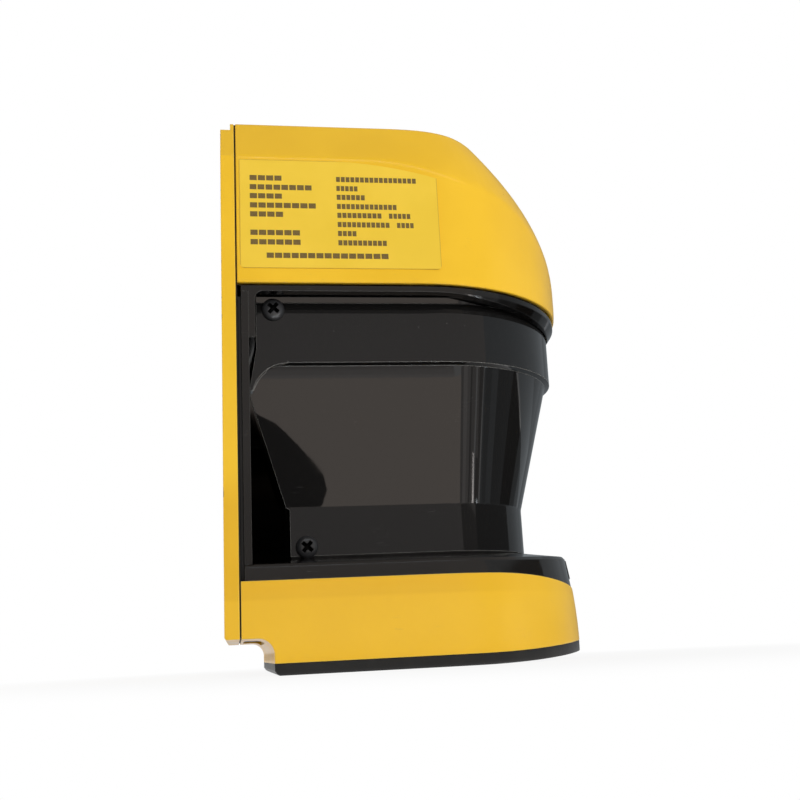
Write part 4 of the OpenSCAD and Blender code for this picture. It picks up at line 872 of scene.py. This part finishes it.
# Measures of the head's form, in millimetres.
HEAD_HALF = 50.5
HEAD_TOP = 152.0
HEAD_RIM = 100.9
HEAD_BACK = 4.1
ARC_DEPTH = 53.8
FACET_Z = 137.3
FACET_LEAN = 9.0 / (HEAD_TOP - FACET_Z)
NOSE_Z = 107.8
NOSE_SETBACK = 26.0
NOSE_POWER = 1.66
RIM_TUCK = 0.8
ROOF_ROUND = 2.0
RIM_ROUND = 0.35
CREASE_ROUND = 0.6
START_LOW, START_RISE = 11, 33
BLUNT_LOW, BLUNT_RISE = 2, 1.33
RAY_STEPS = 22
# Fine cuts of the outer wall: steps from the rim and the back, rows, and turns round the arc's middle.
RIM_CUTS = (0.08, 0.18, 0.35, 1.2)
BACK_CUTS = (0.08, 0.18, 0.35, 1.5)
FIRST_ROW = 2.2
ROW_STEP, FINE_ROW_STEP, FINE_FROM = 1.1, 0.55, 115
ROWS_END, LAST_ROW = 0.2, 0.1
LAST_TURN, TURN_STEP = 86, 3
# How near a face has to be to count as on the wall, or on the roof, rim or back.
WALL_FIT, FACE_FIT = 0.9, 0.01
CUT_FIT = 1e-6


def roof_inset(z):
    """How far the rounded edge of the roof draws the wall in at a height."""
    k = max(0.0, z - (HEAD_TOP - ROOF_ROUND))
    return ROOF_ROUND - math.sqrt(max(0.0, ROOF_ROUND ** 2 - k * k))


def loft_half(z):
    """Half width of the lofted cap at a height."""
    offset = math.hypot(1, FACET_LEAN)
    plain = HEAD_HALF - (z - FACET_Z) * FACET_LEAN
    k = z - (HEAD_TOP - ROOF_ROUND)
    if k < ROOF_ROUND * FACET_LEAN / offset:
        return plain
    corner = HEAD_HALF - (HEAD_TOP - FACET_Z) * FACET_LEAN - ROOF_ROUND * (offset - FACET_LEAN)
    return corner + math.sqrt(max(0.0, ROOF_ROUND ** 2 - k * k))


def cap_ring(z):
    """Half width, start depth, reach and bluntness of the lofted cap at a height."""
    t = max(0.0, z - NOSE_Z) / (HEAD_TOP - NOSE_Z)
    tuck = max(0.0, NOSE_Z - z) / (NOSE_Z - HEAD_RIM)
    start = START_LOW + START_RISE * t
    nose = ARC_DEPTH + HEAD_HALF - NOSE_SETBACK * t ** NOSE_POWER - RIM_TUCK * min(1.0, tuck * tuck)
    return loft_half(z), start, nose - roof_inset(z) - start, BLUNT_LOW + BLUNT_RISE * t


def in_cap(ring, x, depth):
    """True for a place inside the cap's ring."""
    half, start, reach, blunt = ring
    if depth <= start:
        return abs(x) < half
    return abs(x / half) ** blunt + ((depth - start) / reach) ** blunt < 1


def smaller(first, second):
    """The smaller of two radii, rounded where they meet."""
    blend = max(0.0, CREASE_ROUND - abs(first - second)) / CREASE_ROUND
    return min(first, second) - blend * blend * CREASE_ROUND / 4


def along_ray(ring, x, depth, origin):
    """Distance from a point on the centre line to the cap's wall, through a point."""
    length = math.hypot(x, depth - origin)
    dx, dd = x / length, (depth - origin) / length
    low, high = 0.0, 2 * HEAD_HALF
    for _ in range(RAY_STEPS):
        middle = (low + high) / 2
        if in_cap(ring, dx * middle, origin + dd * middle):
            low = middle
        else:
            high = middle
    return (low + high) / 2, dx, dd


def head_wall(x, depth, z):
    """Nearest place on the head's smooth outer wall at the same height."""
    ring = cap_ring(z)
    rounding = 0.0
    for gap in (z - HEAD_RIM, depth - HEAD_BACK):
        if gap < RIM_ROUND:
            kept = math.sqrt(max(0.0, RIM_ROUND ** 2 - (RIM_ROUND - gap) ** 2))
            rounding = max(rounding, RIM_ROUND - kept)
    origin = min(depth, ARC_DEPTH)
    reach, dx, dd = along_ray(ring, x, depth, origin)
    radius = smaller(reach, HEAD_HALF) - rounding
    return dx * radius, origin + dd * radius


def slice_faces(work, chosen, point, normal):
    """Cut the chosen faces by a plane and return those that result."""
    cut = set(chosen)
    geometry = list(cut) + list({e for f in cut for e in f.edges}) + list({v for f in cut for v in f.verts})
    result = bmesh.ops.bisect_plane(work, geom=geometry, plane_co=point, plane_no=normal, dist=CUT_FIT)
    return [f for f in result["geom"] if isinstance(f, bmesh.types.BMFace)]


def on_outer_wall(face):
    """True for a face of the head cover that lies on its smooth outer wall."""
    middle = face.calc_center_median() / MM
    depth = REAR_Y / MM - middle.y
    if middle.z > HEAD_TOP - FACE_FIT or depth < HEAD_BACK + FACE_FIT or middle.z < HEAD_RIM + FACE_FIT:
        return False
    if depth < ARC_DEPTH and abs(middle.x) < HEAD_HALF / 2:
        return False
    x, wall = head_wall(middle.x, depth, middle.z)
    outward = Vector((middle.x, -max(0.0, depth - ARC_DEPTH), 0.01))
    return math.hypot(x - middle.x, wall - depth) < WALL_FIT and face.normal.dot(outward) > 0


def fine_head():
    """Copy of the head cover whose outer wall is cut finely and laid on the smooth form."""
    source = frame["nodes"]["head_cover"]
    mesh = source.data.copy()
    work = bmesh.new()
    work.from_mesh(mesh)
    bmesh.ops.remove_doubles(work, verts=work.verts, dist=WELD)
    outer = [face for face in work.faces if on_outer_wall(face)]
    rows = [HEAD_RIM + step for step in RIM_CUTS]
    z = HEAD_RIM + FIRST_ROW
    while z < HEAD_TOP - ROWS_END:
        rows.append(z)
        z += FINE_ROW_STEP if z > FINE_FROM else ROW_STEP
    rows.append(HEAD_TOP - LAST_ROW)
    for z in rows:
        outer = slice_faces(work, outer, (0, 0, z * MM), (0, 0, 1))
    for step in BACK_CUTS:
        outer = slice_faces(work, outer, (0, at_depth(HEAD_BACK + step), 0), (0, 1, 0))
    for turn in range(-LAST_TURN, LAST_TURN + 1, TURN_STEP):
        angle = math.radians(turn)
        outer = slice_faces(work, outer, (0, at_depth(ARC_DEPTH), 0), (math.cos(angle), math.sin(angle), 0))
    for vertex in {v for face in outer for v in face.verts}:
        depth = (REAR_Y - vertex.co.y) / MM
        x, wall = head_wall(vertex.co.x / MM, depth, vertex.co.z / MM)
        vertex.co.x = x * MM
        vertex.co.y = at_depth(wall if depth > ARC_DEPTH else depth)
    for face in work.faces:
        face.smooth = True
    bmesh.ops.triangulate(work, faces=[f for f in work.faces if len(f.verts) > 4])
    work.to_mesh(mesh)
    work.free()
    piece = add_piece("head_cover_skin", mesh, source["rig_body"], SLOTS["head_cover"], "head_cover")
    normals = piece.modifiers.new("normals", "WEIGHTED_NORMAL")
    normals.keep_sharp = False


def dress_nodes():
    """Finish every solid, and lay the rounded skins over the outer ones."""
    for name, node in frame["nodes"].items():
        node.data.materials.clear()
        node.data.materials.append(FINISHES[SLOTS[name]])
    for name, measures in ROUNDING_MM.items():
        round_skin(name, *measures)
    fine_head()


# ---------------------------------------------------------------- label print
# Bars that stand for the rows of print: height above the foot, start depth and lengths, in millimetres.
LEFT_ROWS = [
    (130.9, 8.6), (128.2, 16.7), (125.6, 8.6), (122.9, 17.7), (120.3, 8.8), (115.0, 13.2), (112.3, 13.3),
]
RIGHT_ROWS = [
    (130.9, [22.2]), (128.2, [5.8]), (125.6, [7.7]), (122.9, [16.4]), (120.3, [12.1, 5.9]),
    (117.6, [14.2, 4.6]), (115.0, [5.0]), (112.3, [13.2]),
]
LEFT_START, RIGHT_START = 7.8, 31.3
GROUP_GAP = 2.1
FOOT_ROW = (12.0, 32.8, 108.5)
BAR_HEIGHT = 1.5
BAR_LIFT = 0.02
# Width of a block and the gap after it.
WIDE_BLOCK = (1.9, 0.32)
SLIM_BLOCK = (1.05, 0.26)


def add_bar(work, start, length, z):
    """Thin block on the label, from a start depth."""
    face_x = LABEL_LOW.x
    outer, inner = face_x - BAR_LIFT * MM, face_x + BAR_LIFT / 2 * MM
    low, high = (z - BAR_HEIGHT / 2) * MM, (z + BAR_HEIGHT / 2) * MM
    places = [(start, low), (start + length, low), (start + length, high), (start, high)]
    front = [work.verts.new((outer, at_depth(depth), height)) for depth, height in places]
    back = [work.verts.new((inner, at_depth(depth), height)) for depth, height in places]
    work.faces.new(front)
    work.faces.new(back[::-1])
    for k in range(4):
        n = (k + 1) % 4
        work.faces.new((front[n], front[k], back[k], back[n]))


def add_row(work, start, length, z, block):
    """Row of equal blocks that fills a length."""
    width, gap = block
    count = max(1, round((length + gap) / (width + gap)))
    width = (length + gap) / count - gap
    for k in range(count):
        add_bar(work, start + k * (width + gap), width, z)


def label_ink():
    """Brown ink with an uneven tone."""
    material, work, shader = new_finish("label_ink", 0.35)
    grain = work.group(GRAIN, Size=0.25, Patch=3)
    tone = work.fade(grain.outputs["Height"], *WIDE_TONES)
    work.feed(shader.inputs["Base Color"], work.blend(tone, *INK_TONES))
    return material


def print_bars():
    """Plain blocks where the label has its rows of print."""
    work = bmesh.new()
    for z, length in LEFT_ROWS:
        add_row(work, LEFT_START, length, z, WIDE_BLOCK)
    for z, lengths in RIGHT_ROWS:
        start = RIGHT_START
        for length in lengths:
            add_row(work, start, length, z, SLIM_BLOCK)
            start += length + GROUP_GAP
    add_row(work, *FOOT_ROW, WIDE_BLOCK)
    mesh = finished_mesh(work, "label_bars")
    add_piece("label_bars", mesh, "scanner", "label_film")
    mesh.materials.clear()
    mesh.materials.append(label_ink())


# ---------------------------------------------------------------- screws of the window
# Half width, Y and height of each screw's seat and length of its shank, in millimetres.
SCREW_SITES = [(39.9, 47.7, 96.8, 8.0), (28.05, 39.4, 33.0, 8.0)]
# Radius and height of the pan head, from its middle to its rim.
SCREW_PROFILE = [
    (0.0, 1.98), (1.4, 1.93), (2.1, 1.74), (2.6, 1.38), (2.92, 0.95), (3.06, 0.5), (3.06, 0.0),
]
SCREW_STEPS = 48
SHANK_R = 1.2
TIP_LENGTH = 0.4
CROSS_TURN = 40
# Height, half length and half width of a slot at its mouth and at its floor.
CROSS_LAYERS = ((2.4, 2.1, 0.58), (0.35, 1.0, 0.34))
# Faces of the drive recess: their reach and heights, and what tells the dome's own faces from them.
RECESS_R = 2.2
RECESS_HEIGHTS = (0.2, 1.95)
DOME_LEAST = 1.2
DOME_FACING = 0.75
DOME_SPOKE = -0.05
SCREW_CREASE = 35


def turned_solid(work, profile, place, side):
    """Closed solid of revolution about X, from pairs of radius and height."""
    x0, y0, z0 = place
    rings = []
    for radius, height in profile:
        x = side * (x0 + height) * MM
        if radius == 0:
            rings.append([work.verts.new((x, y0 * MM, z0 * MM))])
            continue
        ring = []
        for k in range(SCREW_STEPS):
            angle = 2 * math.pi * k / SCREW_STEPS
            y, z = y0 + radius * math.cos(angle), z0 + radius * math.sin(angle)
            ring.append(work.verts.new((x, y * MM, z * MM)))
        rings.append(ring)
    for first, second in zip(rings, rings[1:]):
        for k in range(SCREW_STEPS):
            n = (k + 1) % SCREW_STEPS
            if len(first) == 1:
                work.faces.new((first[0], second[k], second[n]))
            elif len(second) == 1:
                work.faces.new((first[n], first[k], second[0]))
            else:
                work.faces.new((first[n], first[k], second[k], second[n]))


def cross_wedge(work, place, side, turn):
    """Tapered wedge that cuts one slot of a drive recess."""
    x0, y0, z0 = place
    angle = math.radians(turn)
    along, across = (math.cos(angle), math.sin(angle)), (-math.sin(angle), math.cos(angle))
    layers = []
    for height, length, width in CROSS_LAYERS:
        layer = []
        for a, b in ((-length, -width), (length, -width), (length, width), (-length, width)):
            y = y0 + a * along[0] + b * across[0]
            z = z0 + a * along[1] + b * across[1]
            layer.append(work.verts.new((side * (x0 + height) * MM, y * MM, z * MM)))
        layers.append(layer)
    top, bottom = layers
    work.faces.new(top)
    work.faces.new(bottom[::-1])
    for k in range(4):
        n = (k + 1) % 4
        work.faces.new((top[n], top[k], bottom[k], bottom[n]))


def cut_away(piece, cutter_mesh):
    """Take a cutter's volume out of a piece."""
    cutter = bpy.data.objects.new("cutter", cutter_mesh)
    scene.collection.objects.link(cutter)
    modifier = piece.modifiers.new("cut", "BOOLEAN")
    modifier.operation = "DIFFERENCE"
    modifier.solver = "EXACT"
    modifier.object = cutter
    shown = piece.evaluated_get(bpy.context.evaluated_depsgraph_get())
    result = bpy.data.meshes.new_from_object(shown)
    piece.modifiers.clear()
    piece.data = result
    bpy.data.objects.remove(cutter)
    bpy.data.meshes.remove(cutter_mesh)


def in_recess(middle, normal):
    """True for a face of a screw's drive recess."""
    for x0, y0, z0, _ in SCREW_SITES:
        radius = math.hypot(middle.y - y0, middle.z - z0)
        height = abs(middle.x) - x0
        if radius < RECESS_R and RECESS_HEIGHTS[0] < height < RECESS_HEIGHTS[1]:
            spoke = Vector((0, middle.y - y0, middle.z - z0)).normalized()
            outward = normal.x * math.copysign(1, middle.x)
            dome = outward > DOME_FACING and normal.dot(spoke) > DOME_SPOKE
            if not dome or height < DOME_LEAST:
                return True
    return False


def window_screws():
    """Pan head screws with a cut cross recess, whose faces are painted near black as shade."""
    solid = bmesh.new()
    for *seat, length in SCREW_SITES:
        shank = [(SHANK_R, 0.0), (SHANK_R, TIP_LENGTH - length), (0.0, -length)]
        for side in (-1, 1):
            turned_solid(solid, SCREW_PROFILE + shank, seat, side)
    mesh = finished_mesh(solid, "window_screws_cut")
    piece = add_piece("window_screws_cut", mesh, "scanner", "black_screw")
    for turn in (CROSS_TURN, CROSS_TURN + 90):
        cutter = bmesh.new()
        for *seat, _ in SCREW_SITES:
            for side in (-1, 1):
                cross_wedge(cutter, seat, side, turn)
        cut_away(piece, finished_mesh(cutter, "screw_cross"))
    # Painted shade: the faces of the drive recess get a near black finish with little gloss.
    piece.data.materials.append(black_satin("drive_recess_painted_shade", SCREW_RECESS_SHADE, 0.6, 0.4, 0.004, 0.05))
    for polygon in piece.data.polygons:
        polygon.use_smooth = True
        if in_recess(polygon.center / MM, polygon.normal):
            polygon.material_index = 1
    piece.data.set_sharp_from_angle(angle=math.radians(SCREW_CREASE))
    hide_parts("window_screws")


# ---------------------------------------------------------------- assembly
scene.view_settings.view_transform = "Standard"
build_studio()
dress_nodes()
print_bars()
window_screws()
